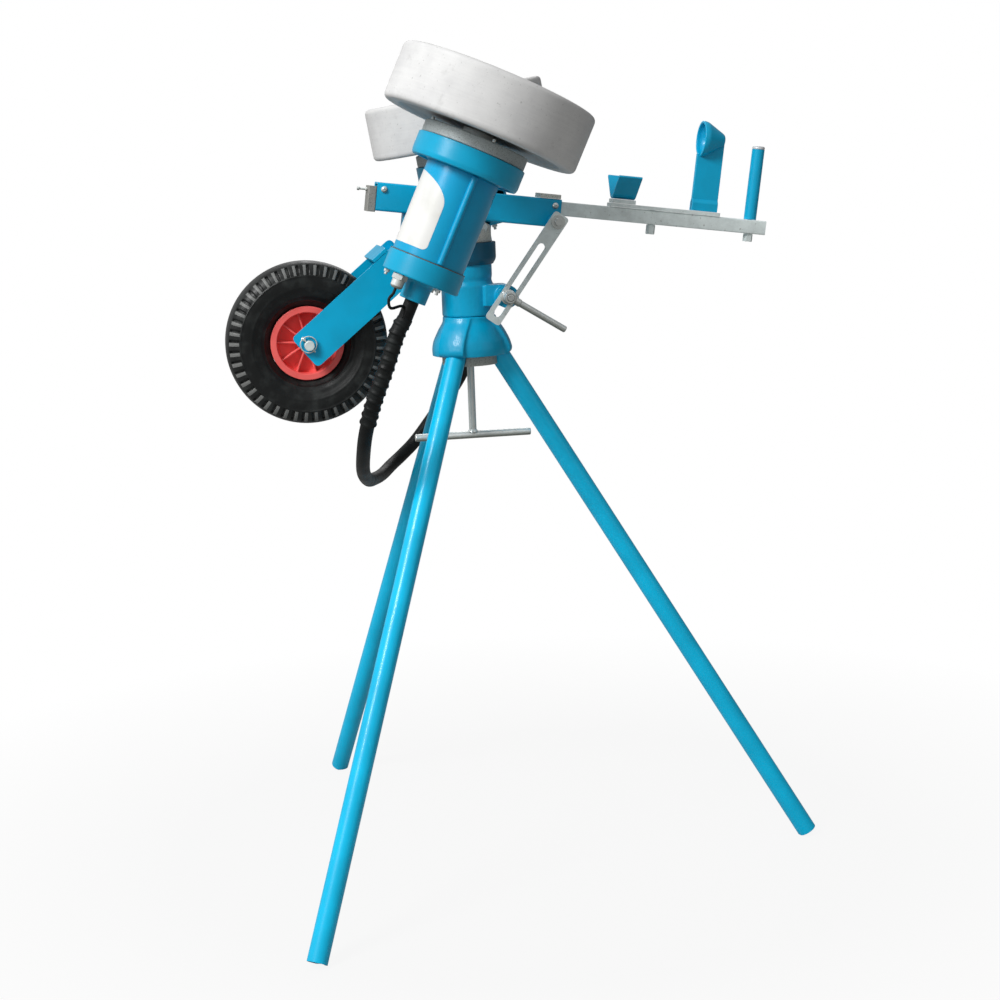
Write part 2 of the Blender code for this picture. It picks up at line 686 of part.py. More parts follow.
def rail():
    """The square rail that the carriage runs on, slotted for its guide stud."""
    made = box("rail", (RAIL_LEFT, -rail_half, rail_bottom), (RAIL_RIGHT, rail_half, rail_top),
               beam_frame, ZINC)
    inner = rail_half - RAIL_WALL
    bore = box("rail_bore", (RAIL_LEFT - PAST, -inner, rail_bottom + RAIL_WALL),
               (RAIL_RIGHT + PAST, inner, rail_top - RAIL_WALL), beam_frame)
    cut(made, bore)
    half = GUIDE_STUD / 2 + GAP
    slot = box("guide_slot", (GUIDE_STUD_X - CARRIAGE_FORWARD - GUIDE_STUD / 2 - RUN, -half,
                              rail_bottom - PAST),
               (GUIDE_STUD_X + CARRIAGE_BACK + GUIDE_STUD / 2 + RUN, half, rail_top + PAST),
               beam_frame)
    cut(made, slot)
    bolt = rod("handle_bolt_hole", (HANDLE_X, 0, rail_bottom - PAST), (HANDLE_X, 0, rail_top + PAST),
               HANDLE_BOLT / 2 + GAP, beam_frame)
    return cut(made, bolt)


def beam_plate():
    """The pale stop plate on the beam's feed end."""
    return box("beam_plate", (PLATE_LEFT, -beam_half, beam_top + GAP),
               (PLATE_LEFT + PLATE_LENGTH, beam_half, beam_top + GAP + PLATE_THICKNESS),
               beam_frame, ZINC)


def beam_screw(side, x, tip_y):
    """A screw through the beam's near wall."""
    made = rod("beam_screw_" + side, (x, -beam_half - GAP, SCREW_Z), (x, -tip_y, SCREW_Z),
               SCREW_SHANK / 2, beam_frame, ZINC)
    head = rod("screw_head_" + side, (x, -beam_half - GAP - SCREW_HEAD_THICKNESS, SCREW_Z),
               (x, -beam_half - GAP, SCREW_Z), SCREW_HEAD / 2, beam_frame)
    return join(made, head)


def end_cover():
    """The grey cover on the throw end of the beam, with the tail of its catch."""
    right = BEAM_LEFT - GAP
    made = box("end_cover", (right - COVER_THICKNESS, -beam_half, COVER_BOTTOM),
               (right, beam_half, COVER_TOP), beam_frame, GREY)
    knob = rod("cover_stud_bore", (right - COVER_THICKNESS - PAST, 0, KNOB_Z),
               (right + PAST, 0, KNOB_Z), KNOB_DIAMETER / 4 + GAP, beam_frame)
    return cut(made, knob)


def end_knob():
    """The small knob on the cover."""
    face = BEAM_LEFT - GAP - COVER_THICKNESS - GAP
    made = rod("end_knob", (face - KNOB_LENGTH, 0, KNOB_Z), (face, 0, KNOB_Z), KNOB_DIAMETER / 2,
               beam_frame, CHROME)
    shank = rod("knob_shank", (face - KNOB_LENGTH / 2, 0, KNOB_Z),
                (BEAM_LEFT + BEAM_WALL, 0, KNOB_Z), KNOB_DIAMETER / 4, beam_frame)
    return join(made, shank)


def link_spacer():
    """The tube that holds the link out from the beam, past the turret and the head."""
    made = rod("link_spacer", (LINK_BOLT_X, -beam_half - GAP, LINK_BOLT_Z),
               (LINK_BOLT_X, -LINK_INNER_Y + GAP, LINK_BOLT_Z), SPACER_DIAMETER / 2, beam_frame, BLUE)
    hole = rod("spacer_hole", (LINK_BOLT_X, 0, LINK_BOLT_Z), (LINK_BOLT_X, -LINK_INNER_Y - PAST, LINK_BOLT_Z),
               LINK_BOLT / 2 + GAP, beam_frame)
    return cut(made, hole)


def link_bolt():
    """The bolt that the link hangs on, with its washer."""
    outer = LINK_INNER_Y + LINK_THICKNESS + GAP
    washer = BOLT_HEAD_THICKNESS / 3
    made = rod("link_bolt", (LINK_BOLT_X, -outer - washer, LINK_BOLT_Z),
               (LINK_BOLT_X, -beam_half + 2 * BEAM_WALL, LINK_BOLT_Z), LINK_BOLT / 2, beam_frame, CHROME)
    join(made, rod("bolt_washer", (LINK_BOLT_X, -outer, LINK_BOLT_Z),
                   (LINK_BOLT_X, -outer - washer, LINK_BOLT_Z),
                   BOLT_WASHER / 2, beam_frame))
    return join(made, rod("bolt_head", (LINK_BOLT_X, -outer - washer / 2, LINK_BOLT_Z),
                          (LINK_BOLT_X, -outer - washer - BOLT_HEAD_THICKNESS, LINK_BOLT_Z), BOLT_HEAD / 2,
                          beam_frame, sides=6))


# Slotted link and clamp lever

link_axis = frame("link_axis", beam_frame, (LINK_BOLT_X, 0.0, LINK_BOLT_Z), turn_y=-REST_ELEVATION)
lever_axis = frame("lever_axis", turret_axis, (STUD_X, 0.0, STUD_HEIGHT), turn_y=LEVER_DROP)
link_x, link_z = from_bolt_to_stud()
link_turn = degrees(atan2(-link_x, -link_z))


def slotted_link():
    """The flat steel link with its long slot; local Z points up along the link."""
    place = frame("link_frame", link_axis, turn_y=link_turn)
    half = LINK_WIDTH / 2
    corner = half * 0.45
    low = -LINK_BELOW_BOLT
    high = LINK_ABOVE_BOLT
    shape = (arc(half - corner, high - corner, corner, 0, 90, 4)
             + arc(-half + corner, high - corner, corner, 90, 180, 4)
             + arc(-half + corner, low + corner, corner, 180, 270, 4)
             + arc(half - corner, low + corner, corner, 270, 360, 4))
    outer_y = -LINK_INNER_Y - LINK_THICKNESS
    made = outline("slotted_link", shape, outer_y, -LINK_INNER_Y, place, ZINC)
    slot_end = SLOT_WIDTH / 2
    slot = slotted((0.0, -SLOT_TOP - slot_end), (0.0, -SLOT_BOTTOM + slot_end), slot_end)
    cut(made, outline("link_slot", slot, outer_y - PAST, -LINK_INNER_Y + PAST, place))
    hole = rod("link_hole", (0, outer_y - PAST, 0), (0, -LINK_INNER_Y + PAST, 0),
               LINK_BOLT / 2 + GAP, place)
    return cut(made, hole)


def clamp_lever():
    """The clamp nut with its bar; local X points out along the bar."""
    inner = -(LINK_INNER_Y + LINK_THICKNESS + GAP)
    made = rod("clamp_lever", (0, inner, 0), (0, inner - LEVER_HUB_LENGTH, 0), LEVER_HUB / 2,
               lever_axis, CHROME)
    bar_y = inner - LEVER_HUB_LENGTH / 2
    bar = rod("lever_bar", (LEVER_HUB / 3, bar_y, 0), (LEVER_LENGTH, bar_y, 0), LEVER_ROD / 2,
              lever_axis)
    join(made, bar)
    bore = rod("lever_bore", (0, inner + PAST, 0), (0, inner - LEVER_HUB_LENGTH - PAST, 0),
               STUD_DIAMETER / 2 + GAP, lever_axis)
    return cut(made, bore)


# Carriage

carriage_frame = frame("carriage_frame", beam_frame)
bar_bottom = rail_top + GAP
bar_top = bar_bottom + CARRIAGE_THICKNESS
cup_tip = CUP_FRONT + CUP_LENGTH


def slide_bar():
    """The flat bar that slides on the rail."""
    made = box("slide_bar", (CARRIAGE_LEFT, -CARRIAGE_WIDTH / 2, bar_bottom),
               (CARRIAGE_RIGHT, CARRIAGE_WIDTH / 2, bar_top), carriage_frame, ZINC)
    hole = rod("stud_hole", (GUIDE_STUD_X, 0, bar_bottom - PAST), (GUIDE_STUD_X, 0, bar_top + PAST),
               GUIDE_STUD / 2 + GAP, carriage_frame)
    return cut(made, hole)


def cradle_base():
    """The block that the cradle stands on."""
    return box("cradle_base", (CRADLE_LEFT, -CRADLE_BASE_WIDTH / 2, bar_top + GAP),
               (CRADLE_LEFT + CRADLE_LENGTH, CRADLE_BASE_WIDTH / 2,
                bar_top + GAP + CRADLE_BASE_HEIGHT), carriage_frame, ZINC)


def cradle():
    """The bent sheet: two wings with a round fold between them."""
    slope = radians(CRADLE_SLOPE)
    half = CRADLE_SHEET / 2
    fold_z = bar_top + CRADLE_BASE_HEIGHT + 2 * GAP + half + CRADLE_FOLD
    tip_z = fold_z - CRADLE_FOLD / cos(slope) + CRADLE_HALF_WIDTH * tan(slope)
    out, up = half * sin(slope), half * cos(slope)
    under = arc(0.0, fold_z, CRADLE_FOLD + half, -90 - CRADLE_SLOPE, -90 + CRADLE_SLOPE, 6)
    over = arc(0.0, fold_z, CRADLE_FOLD - half, -90 + CRADLE_SLOPE, -90 - CRADLE_SLOPE, 6)
    shape = ([(-CRADLE_HALF_WIDTH - out, tip_z - up)] + under
             + [(CRADLE_HALF_WIDTH + out, tip_z - up), (CRADLE_HALF_WIDTH - out, tip_z + up)]
             + over + [(-CRADLE_HALF_WIDTH + out, tip_z + up)])
    place = frame("cradle_frame", carriage_frame, turn_z=90.0)
    return outline("cradle", shape, -CRADLE_LEFT - CRADLE_LENGTH, -CRADLE_LEFT, place, BLUE)


def pusher():
    """The post on its foot and the cup on top, one welded piece."""
    low = bar_top + GAP
    right = CARRIAGE_RIGHT - POST_MARGIN
    inner_floor = cup_tip - CUP_WALL
    waist = CUP_FRONT + CUP_LENGTH * CUP_WAIST
    place = frame("cup_frame", carriage_frame, (0.0, 0.0, CUP_AXIS_Z), turn_y=90.0)
    hollow = [(0.0, inner_floor), (CUP_FLOOR_RADIUS - CUP_WALL, inner_floor),
              (CUP_WAIST_RADIUS - CUP_WALL, waist), (CUP_RADIUS - CUP_WALL, CUP_FRONT)]
    made = box("pusher", (POST_LEFT, -POST_FOOT_WIDTH / 2, low),
               (right, POST_FOOT_WIDTH / 2, low + POST_FOOT_HEIGHT), carriage_frame, BLUE)
    post = box("post", (POST_LEFT, -POST_THICKNESS / 2, low),
               (right, POST_THICKNESS / 2, CUP_AXIS_Z), carriage_frame)
    cut(post, turned("cup_hollow", hollow + [(CUP_RADIUS - CUP_WALL, CUP_FRONT - PAST),
                                             (0.0, CUP_FRONT - PAST)], place))
    join(made, post)
    cup = [(0.0, cup_tip), (CUP_FLOOR_RADIUS, cup_tip), (CUP_WAIST_RADIUS, waist),
           (CUP_RADIUS, CUP_FRONT)] + hollow[::-1]
    return join(made, turned("cup", cup, place))


def guide_stud():
    """The stud through the rail's slot, with its nut under the rail."""
    made = rod("guide_stud", (GUIDE_STUD_X, 0, bar_top), (GUIDE_STUD_X, 0, rail_bottom - RUN),
               GUIDE_STUD / 2, carriage_frame, ZINC)
    nut = rod("guide_nut", (GUIDE_STUD_X, 0, rail_bottom - GAP),
              (GUIDE_STUD_X, 0, rail_bottom - GAP - NUT_HEIGHT), NUT_WIDTH / 2, carriage_frame,
              sides=6)
    return join(made, nut)


# Aiming handle

def handle_tube():
    made = rod("handle_tube", (HANDLE_X, 0, rail_top + GAP), (HANDLE_X, 0, HANDLE_TOP),
               HANDLE_TUBE / 2, beam_frame, BLUE)
    upper = rod("handle_bore", (HANDLE_X, 0, HANDLE_TOP - 2 * PLUG_DEPTH),
                (HANDLE_X, 0, HANDLE_TOP + PAST), HANDLE_TUBE / 2 - HANDLE_WALL, beam_frame)
    cut(made, upper)
    thread = rod("handle_thread", (HANDLE_X, 0, rail_top - PAST), (HANDLE_X, 0, HANDLE_TOP - PLUG_DEPTH),
                 HANDLE_BOLT / 2 + GAP, beam_frame)
    return cut(made, thread)


def handle_plug():
    """The grey plug in the top of the handle."""
    made = rod("handle_plug", (HANDLE_X, 0, HANDLE_TOP + GAP), (HANDLE_X, 0, HANDLE_TOP + GAP + PLUG_HEIGHT),
               HANDLE_TUBE / 2, beam_frame, GREY)
    shank = rod("plug_shank", (HANDLE_X, 0, HANDLE_TOP - PLUG_DEPTH),
                (HANDLE_X, 0, HANDLE_TOP + PLUG_HEIGHT / 2), HANDLE_TUBE / 2 - HANDLE_WALL - GAP,
                beam_frame)
    return join(made, shank)


def handle_bolt():
    """The bolt up through the rail into the handle."""
    made = rod("handle_bolt", (HANDLE_X, 0, rail_bottom - RUN), (HANDLE_X, 0, HANDLE_TOP / 2),
               HANDLE_BOLT / 2, beam_frame, ZINC)
    head = rod("handle_bolt_head", (HANDLE_X, 0, rail_bottom - GAP),
               (HANDLE_X, 0, rail_bottom - GAP - HANDLE_NUT_HEIGHT), HANDLE_NUT_WIDTH / 2,
               beam_frame, sides=6)
    return join(made, head)


# Throwing wheels and motors

class Motor:
    """One wheel with its motor; heights are below the wheel's middle, down the shaft."""

    def __init__(self, side, sign, wheel_x, wheel_z, body_length, cap_height, bracket_down):
        self.side = side
        self.sign = sign
        self.cap_height = cap_height
        self.bracket_down = bracket_down
        self.fixed = frame(side + "_motor_frame", beam_frame, (wheel_x, sign * WHEEL_Y, wheel_z),
                           turn_y=-sign * WHEEL_CANT)
        self.axis = frame(side + "_wheel_axis", self.fixed)
        self.body_top = -(FLANGE_TOP + FLANGE_HEIGHT + GAP)
        self.body_bottom = self.body_top - body_length
        self.cap_top = self.body_bottom - GAP
        self.cap_bottom = self.cap_top - cap_height
        self.boss_bottom = self.cap_bottom - BOSS_LENGTH
        self.upper_bearing = -(FLANGE_TOP + FLANGE_HEIGHT - BEARING_HEIGHT)
        self.lower_bearing = self.cap_top - GAP
        self.shaft_bottom = self.lower_bearing - BEARING_HEIGHT

    def throwing_wheel(self):
        edge = WHEEL_HALF_WIDTH
        face = edge - WHEEL_DISH_DEPTH
        lip = WHEEL_DISH_RADIUS + WHEEL_DISH_DEPTH
        bore = HUB_RADIUS + GAP
        tread = WHEEL_RADIUS - WHEEL_CORNER
        side_height = edge - WHEEL_CORNER
        profile = (arc(tread, side_height, WHEEL_CORNER, 90, 0, 2)
                   + arc(tread, -side_height, WHEEL_CORNER, 0, -90, 2)
                   + [(lip, -edge), (WHEEL_DISH_RADIUS, -face), (bore, -face), (bore, face),
                      (WHEEL_DISH_RADIUS, face), (lip, edge)])
        return turned(self.side + "_throwing_wheel", profile, self.axis, WHEEL, sides=WHEEL_SIDES)

    def rotor(self):
        """The hub, shaft and armature that turn with the wheel."""
        face = WHEEL_HALF_WIDTH - WHEEL_DISH_DEPTH
        armature = BODY_RADIUS - BODY_WALL - GAP - MAGNET_THICKNESS - ROTOR_CLEARANCE
        top = self.body_top - WINDING_END
        bottom = self.body_bottom + WINDING_END
        hub_bottom = -BELL_TOP + RUN
        shaft_end = self.shaft_bottom + RUN
        profile = [(0.0, face + HUB_PLATE), (HUB_PLATE_RADIUS, face + HUB_PLATE),
                   (HUB_PLATE_RADIUS, face + GAP), (HUB_RADIUS, face + GAP),
                   (HUB_RADIUS, hub_bottom), (SHAFT_RADIUS, hub_bottom), (SHAFT_RADIUS, top),
                   (armature, top), (armature, bottom), (SHAFT_RADIUS, bottom),
                   (SHAFT_RADIUS, shaft_end), (0.0, shaft_end)]
        return turned(self.side + "_rotor", profile, self.axis, CHROME)

    def end_bell(self):
        low = -(BELL_TOP + BELL_HEIGHT)
        return turned(self.side + "_end_bell", ring(BELL_RADIUS, BELL_BORE, low, -BELL_TOP),
                      self.fixed, CAST)

    def mounting_flange(self):
        """The blue flange on top of the motor, with the seat of the upper bearing."""
        high = -FLANGE_TOP
        low = high - FLANGE_HEIGHT
        profile = [(FLANGE_RADIUS, high), (FLANGE_RADIUS, low), (BEARING_RADIUS + GAP, low),
                   (BEARING_RADIUS + GAP, self.upper_bearing + GAP),
                   (SHAFT_RADIUS + RUN, self.upper_bearing + GAP), (SHAFT_RADIUS + RUN, high)]
        return turned(self.side + "_mounting_flange", profile, self.fixed, MOTOR_BLUE)

    def housing(self):
        return turned(self.side + "_motor_housing",
                      ring(BODY_RADIUS, BODY_RADIUS - BODY_WALL, self.body_bottom, self.body_top),
                      self.fixed, MOTOR_BLUE)

    def magnets(self):
        """The ring of field magnets inside the housing."""
        outer = BODY_RADIUS - BODY_WALL - GAP
        return turned(self.side + "_field_magnets",
                      ring(outer, outer - MAGNET_THICKNESS, self.body_bottom + MAGNET_END,
                           self.body_top - MAGNET_END), self.fixed, GREY)

    def bearing(self, name, top):
        return turned(self.side + name, ring(BEARING_RADIUS, SHAFT_RADIUS + GAP, top - BEARING_HEIGHT,
                                             top), self.fixed, CHROME)

    def end_cap(self):
        """The flange under the motor, with the boss that the hose leaves from."""
        seat = self.lower_bearing - BEARING_HEIGHT - GAP
        profile = [(CAP_RADIUS, self.cap_top), (CAP_RADIUS, self.cap_bottom),
                   (BOSS_RADIUS, self.cap_bottom), (BOSS_RADIUS, self.boss_bottom),
                   (BOSS_BORE, self.boss_bottom), (BOSS_BORE, seat),
                   (BEARING_RADIUS + GAP, seat), (BEARING_RADIUS + GAP, self.cap_top)]
        return turned(self.side + "_motor_cap", profile, self.fixed, MOTOR_BLUE)

    def bracket(self):
        """The arm from the beam's side to the motor's body."""
        inner = self.sign * (beam_half + GAP)
        middle = self.sign * WHEEL_Y
        low_y, high_y = sorted((inner - middle, -self.sign * BODY_RADIUS / 2))
        half = BRACKET_HEIGHT / 2
        made = box(self.side + "_motor_bracket", (-BRACKET_WIDTH / 2, low_y, -self.bracket_down - half),
                   (BRACKET_WIDTH / 2, high_y, -self.bracket_down + half), self.fixed, DARK_BLUE)
        wall = BRACKET_WALL
        bore = box(self.side + "_bracket_bore",
                   (-BRACKET_WIDTH / 2 + wall, low_y - PAST, -self.bracket_down - half + wall),
                   (BRACKET_WIDTH / 2 - wall, high_y + PAST, -self.bracket_down + half - wall),
                   self.fixed)
        cut(made, bore)
        seat = rod(self.side + "_bracket_seat", (0, 0, self.body_top + PAST),
                   (0, 0, self.body_bottom - PAST), BODY_RADIUS + GAP, self.fixed, sides=ROUND_SIDES)
        return cut(made, seat)

    def build(self):
        self.throwing_wheel()
        self.rotor()
        self.end_bell()
        self.mounting_flange()
        self.housing()
        self.magnets()
        self.bearing("_upper_bearing", self.upper_bearing)
        self.bearing("_lower_bearing", self.lower_bearing)
        self.end_cap()
        self.bracket()


# Transport wheel and fork

axle_frame = frame("transport_axle", beam_frame, (AXLE_X, 0.0, AXLE_Z))
fork_angle = degrees(atan2(FORK_TOP_Z - AXLE_Z, FORK_TOP_X - AXLE_X))
fork_length = hypot(FORK_TOP_Z - AXLE_Z, FORK_TOP_X - AXLE_X)
fork_frame = frame("fork_frame", beam_frame, (AXLE_X, 0.0, AXLE_Z), turn_y=-fork_angle)
fork_outer_y = FORK_INNER_Y + FORK_THICKNESS


def fork_plate(side, sign):
    """One fork plate; its frame's X points from the axle to the top end."""
    half = FORK_WIDTH / 2
    right = fork_length + FORK_TOP_END
    near_x, far_x = FORK_CORNER - FORK_END, right - FORK_CORNER
    low_z, high_z = FORK_CORNER - half - FORK_DROP, half - FORK_CORNER - FORK_DROP
    centres = [(far_x, high_z), (near_x, high_z), (near_x, low_z), (far_x, low_z)]
    shape = []
    for number, (x, z) in enumerate(centres):
        shape += arc(x, z, FORK_CORNER, 90 * number, 90 * number + 90, 4)
    low, high = sorted((sign * FORK_INNER_Y, sign * fork_outer_y))
    made = outline("fork_plate_" + side, shape, low, high, fork_frame, BLUE)
    hole = rod("axle_hole_" + side, (0, low - PAST, 0), (0, high + PAST, 0),
               AXLE_DIAMETER / 2 + GAP, fork_frame)
    return cut(made, hole)


def fork_strap():
    """The flat strap across the upper edges of the two plates."""
    left = TYRE_RADIUS + STRAP_FROM_TYRE
    low = FORK_WIDTH / 2 - FORK_DROP + GAP
    return box("fork_strap", (left, -fork_outer_y, low),
               (left + STRAP_WIDTH, fork_outer_y, low + STRAP_THICKNESS), fork_frame, BLUE)


def fork_stem():
    """The crosshead between the fork plates and its stem up to the beam."""
    half = CROSSHEAD_SIZE / 2
    reach = FORK_INNER_Y - GAP
    made = box("fork_stem", (FORK_TOP_X - half, -reach, FORK_TOP_Z - half),
               (FORK_TOP_X + half, reach, FORK_TOP_Z + half), beam_frame, BLUE)
    stem = box("stem", (STEM_TOP_X - STEM_SIZE / 2, -STEM_SIZE / 2, FORK_TOP_Z - half / 2),
               (STEM_TOP_X + STEM_SIZE / 2, STEM_SIZE / 2, beam_bottom - GAP), beam_frame)
    return join(made, stem)


def transport_axle():
    """The axle, with a washer outside each fork plate."""
    end = fork_outer_y + AXLE_OUT
    made = rod("transport_axle_rod", (0, -end, 0), (0, end, 0), AXLE_DIAMETER / 2, fork_frame, ZINC)
    for side, sign in (("near", -1), ("far", 1)):
        inner = sign * (fork_outer_y + GAP)
        outer = sign * (fork_outer_y + GAP + AXLE_WASHER_THICKNESS)
        join(made, rod("axle_washer_" + side, (0, inner, 0), (0, outer, 0), AXLE_WASHER / 2,
                       fork_frame))
    pin_y = -(fork_outer_y + GAP + AXLE_WASHER_THICKNESS + SPLIT_PIN)
    return cut(made, rod("split_pin_hole", (0, pin_y, -AXLE_DIAMETER), (0, pin_y, AXLE_DIAMETER),
                         SPLIT_PIN / 2 + GAP, fork_frame, sides=12))


def split_pin():
    """The split pin through the near end of the axle."""
    pin_y = -(fork_outer_y + GAP + AXLE_WASHER_THICKNESS + SPLIT_PIN)
    return rod("split_pin", (0, pin_y, -AXLE_DIAMETER * 0.85), (0, pin_y, AXLE_DIAMETER * 0.85),
               SPLIT_PIN / 2, fork_frame, CHROME, sides=12)


def transport_tyre():
    """The tyre: a round section that narrows to its beads on the rim."""
    bead = RIM_RADIUS + GAP
    depth = TYRE_RADIUS - bead
    half = TYRE_HALF_WIDTH
    bead_half = half * 0.62
    side = [(TYRE_RADIUS, half * 0.45), (TYRE_RADIUS - depth * 0.06, half * 0.72),
            (TYRE_RADIUS - depth * 0.22, half * 0.93), (TYRE_RADIUS - depth * 0.45, half),
            (TYRE_RADIUS - depth * 0.75, half * 0.88), (bead + depth * 0.08, bead_half),
            (bead, bead_half * 0.8)]
    profile = [(r, h) for r, h in reversed(side)] + [(r, -h) for r, h in side]
    return turned("transport_tyre", profile, axle_frame, RUBBER, sides=WHEEL_SIDES, along_y=True)


def transport_rim():
    """The red rim: a barrel, a web, a hub tube and ribs between them."""
    barrel_inner = RIM_RADIUS - RIM_WALL
    web = RIM_WEB / 2
    half = RIM_HALF_WIDTH
    hub_half = FORK_INNER_Y - RUN
    bore = AXLE_DIAMETER / 2 + GAP
    profile = [(RIM_RADIUS, half), (RIM_RADIUS, -half), (barrel_inner, -half), (barrel_inner, -web),
               (HUB_TUBE_RADIUS, -web), (HUB_TUBE_RADIUS, -hub_half), (bore, -hub_half),
               (bore, hub_half), (HUB_TUBE_RADIUS, hub_half), (HUB_TUBE_RADIUS, web),
               (barrel_inner, web), (barrel_inner, half)]
    made = turned("transport_rim", profile, axle_frame, RED, along_y=True)
    for number in range(RIM_RIBS // 2):
        rib = box("rim_rib_%d" % number, (-RIM_RADIUS + RIM_WEB / 2, -half * 0.7, -RIM_WEB / 4),
                  (RIM_RADIUS - RIM_WEB / 2, half * 0.7, RIM_WEB / 4), axle_frame)
        rib.rotation_euler = (0.0, 2 * pi * number / RIM_RIBS, 0.0)
        cut(rib, rod("rib_bore_%d" % number, (0, -half, 0), (0, half, 0), HUB_TUBE_RADIUS - RUN,
                     axle_frame))
        join(made, rib)
    return made


# Hose

def smooth_route(points):
    """A Catmull-Rom curve through the points, with a straight run at each end."""
    start = points[2] - 2 * (points[1] - points[0]).normalized() * (points[2] - points[1]).length
    end = points[-3] - 2 * (points[-2] - points[-1]).normalized() * (points[-2] - points[-3]).length
    ends = [start] + points[1:-1] + [end]
    fine = [points[0]]
    for a, b, c, d in zip(ends, ends[1:], ends[2:], ends[3:]):
        for i in range(CURVE_STEPS):
            t = i / CURVE_STEPS
            fine.append(0.5 * (2 * b + (c - a) * t + (2 * a - 5 * b + 4 * c - d) * t ** 2
                               + (3 * b - a - 3 * c + d) * t ** 3))
    fine += points[-2:]
    lengths = [0.0]
    for first, second in zip(fine, fine[1:]):
        lengths.append(lengths[-1] + (second - first).length)
    return fine, lengths


def at_length(fine, lengths, along):
    """The point of a fine route at a length from its start."""
    for i in range(1, len(fine)):
        if lengths[i] >= along:
            share = (along - lengths[i - 1]) / (lengths[i] - lengths[i - 1])
            return fine[i - 1].lerp(fine[i], share)
    return fine[-1]


def hose_tube(name, points, radii, end_reach=0.0):
    """A tube through the points with a radius at each, as a welded mesh."""
    curve = bpy.data.curves.new(name, "CURVE")
    curve.dimensions = "3D"
    curve.bevel_depth = HOSE_RADIUS
    curve.bevel_resolution = 2
    curve.use_fill_caps = True
    spline = curve.splines.new("POLY")
    first = points[0] + (points[0] - points[1]).normalized() * end_reach
    last = points[-1] + (points[-1] - points[-2]).normalized() * end_reach
    route = [first] + points[1:-1] + [last]
    spline.points.add(len(route) - 1)
    for point, place, radius in zip(spline.points, route, radii):
        point.co = (*place, 1.0)
        point.radius = radius / HOSE_RADIUS
    made = bpy.data.objects.new(name, curve)
    PARTS.objects.link(made)
    return to_mesh(made, machine, RUBBER)


def motor_hose(near, far):
    """The hose from boss to boss: ribbed from the near boss down, then smooth."""
    bpy.context.view_layer.update()
    leads = []
    for motor in (near, far):
        place = motor.fixed.matrix_world
        face = place @ Vector((0, 0, motor.boss_bottom - GAP))
        lead = place @ Vector((0, 0, motor.boss_bottom - GAP - HOSE_LEAD))
        leads.append((face, lead))
    middle = [Vector(p) for p in HOSE_ROUTE]
    route = [leads[0][0], leads[0][1]] + middle + [leads[1][1], leads[1][0]]
    fine, lengths = smooth_route(route)
    total = lengths[-1]
    rib_start = HOSE_LEAD
    places = [(0.0, HOSE_RADIUS), (HOSE_LEAD * 0.9, HOSE_RADIUS)]
    for number in range(RIB_COUNT):
        start = rib_start + number * RIB_PITCH
        places.append((start, RIB_LOW))
        places.append((start + RIB_PITCH * 0.75, RIB_HIGH))
    smooth_start = rib_start + RIB_COUNT * RIB_PITCH
    smooth_end = total - HOSE_LEAD
    count = round((smooth_end - smooth_start) / HOSE_STEP)
    for number in range(count + 1):
        places.append((smooth_start + (smooth_end - smooth_start) * number / count, HOSE_RADIUS))
    places.append((total, HOSE_RADIUS))
    points = [at_length(fine, lengths, along) for along, _ in places]
    made = hose_tube("motor_hose", points, [radius for _, radius in places])
    bore = hose_tube("hose_bore", points, [HOSE_BORE] * len(points), end_reach=PAST)
    cut(made, bore)
    print("hose length %.3f m, %d points" % (total, len(points)))
    return smooth(made)


# The machine

for leg_side in LEG_AZIMUTHS:
    leg(leg_side)
tripod_head()
clamp_disc()
t_handle()
turret_body()
collar_band()
clamp_stud()
pivot_block()
pivot_pin()
beam_tube()
rail()
beam_plate()
beam_screw("right", SCREW_RIGHT_X, rail_half + GAP)
beam_screw("left", SCREW_LEFT_X, beam_half - 2 * BEAM_WALL)
end_cover()
end_knob()
link_spacer()
link_bolt()
slotted_link()
clamp_lever()
slide_bar()
cradle_base()
cradle()
pusher()
guide_stud()
handle_tube()
handle_plug()
handle_bolt()
near_motor = Motor("near", -1, NEAR_WHEEL_X, NEAR_WHEEL_Z, NEAR_BODY_LENGTH, NEAR_CAP_HEIGHT,
                   NEAR_BRACKET_DOWN)
far_motor = Motor("far", 1, FAR_WHEEL_X, FAR_WHEEL_Z, FAR_BODY_LENGTH, FAR_CAP_HEIGHT,
                  FAR_BRACKET_DOWN)
near_motor.build()
far_motor.build()
fork_plate("near", -1)
fork_plate("far", 1)
fork_strap()
fork_stem()
transport_axle()
split_pin()
transport_tyre()
transport_rim()
hose = motor_hose(near_motor, far_motor)

# Last step: the middle of the footprint, measured without the hose, goes to the origin
bpy.context.view_layer.update()
graph = bpy.context.evaluated_depsgraph_get()
corners = []
for piece in PARTS.objects:
    if piece is not hose:
        evaluated = piece.evaluated_get(graph)
        mesh = evaluated.to_mesh()
        corners += [evaluated.matrix_world @ vertex.co for vertex in mesh.vertices]
        evaluated.to_mesh_clear()
low = [min(corner[axis] for corner in corners) for axis in range(3)]
high = [max(corner[axis] for corner in corners) for axis in range(3)]
machine.location = (-(low[0] + high[0]) / 2, -(low[1] + high[1]) / 2, -low[2])
print("moved by", tuple(round(value, 6) for value in machine.location))
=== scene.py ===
from math import atan2, cos, degrees, exp, pi, radians, sin, sqrt, tan

import bmesh
import bpy
from mathutils import Matrix, Vector


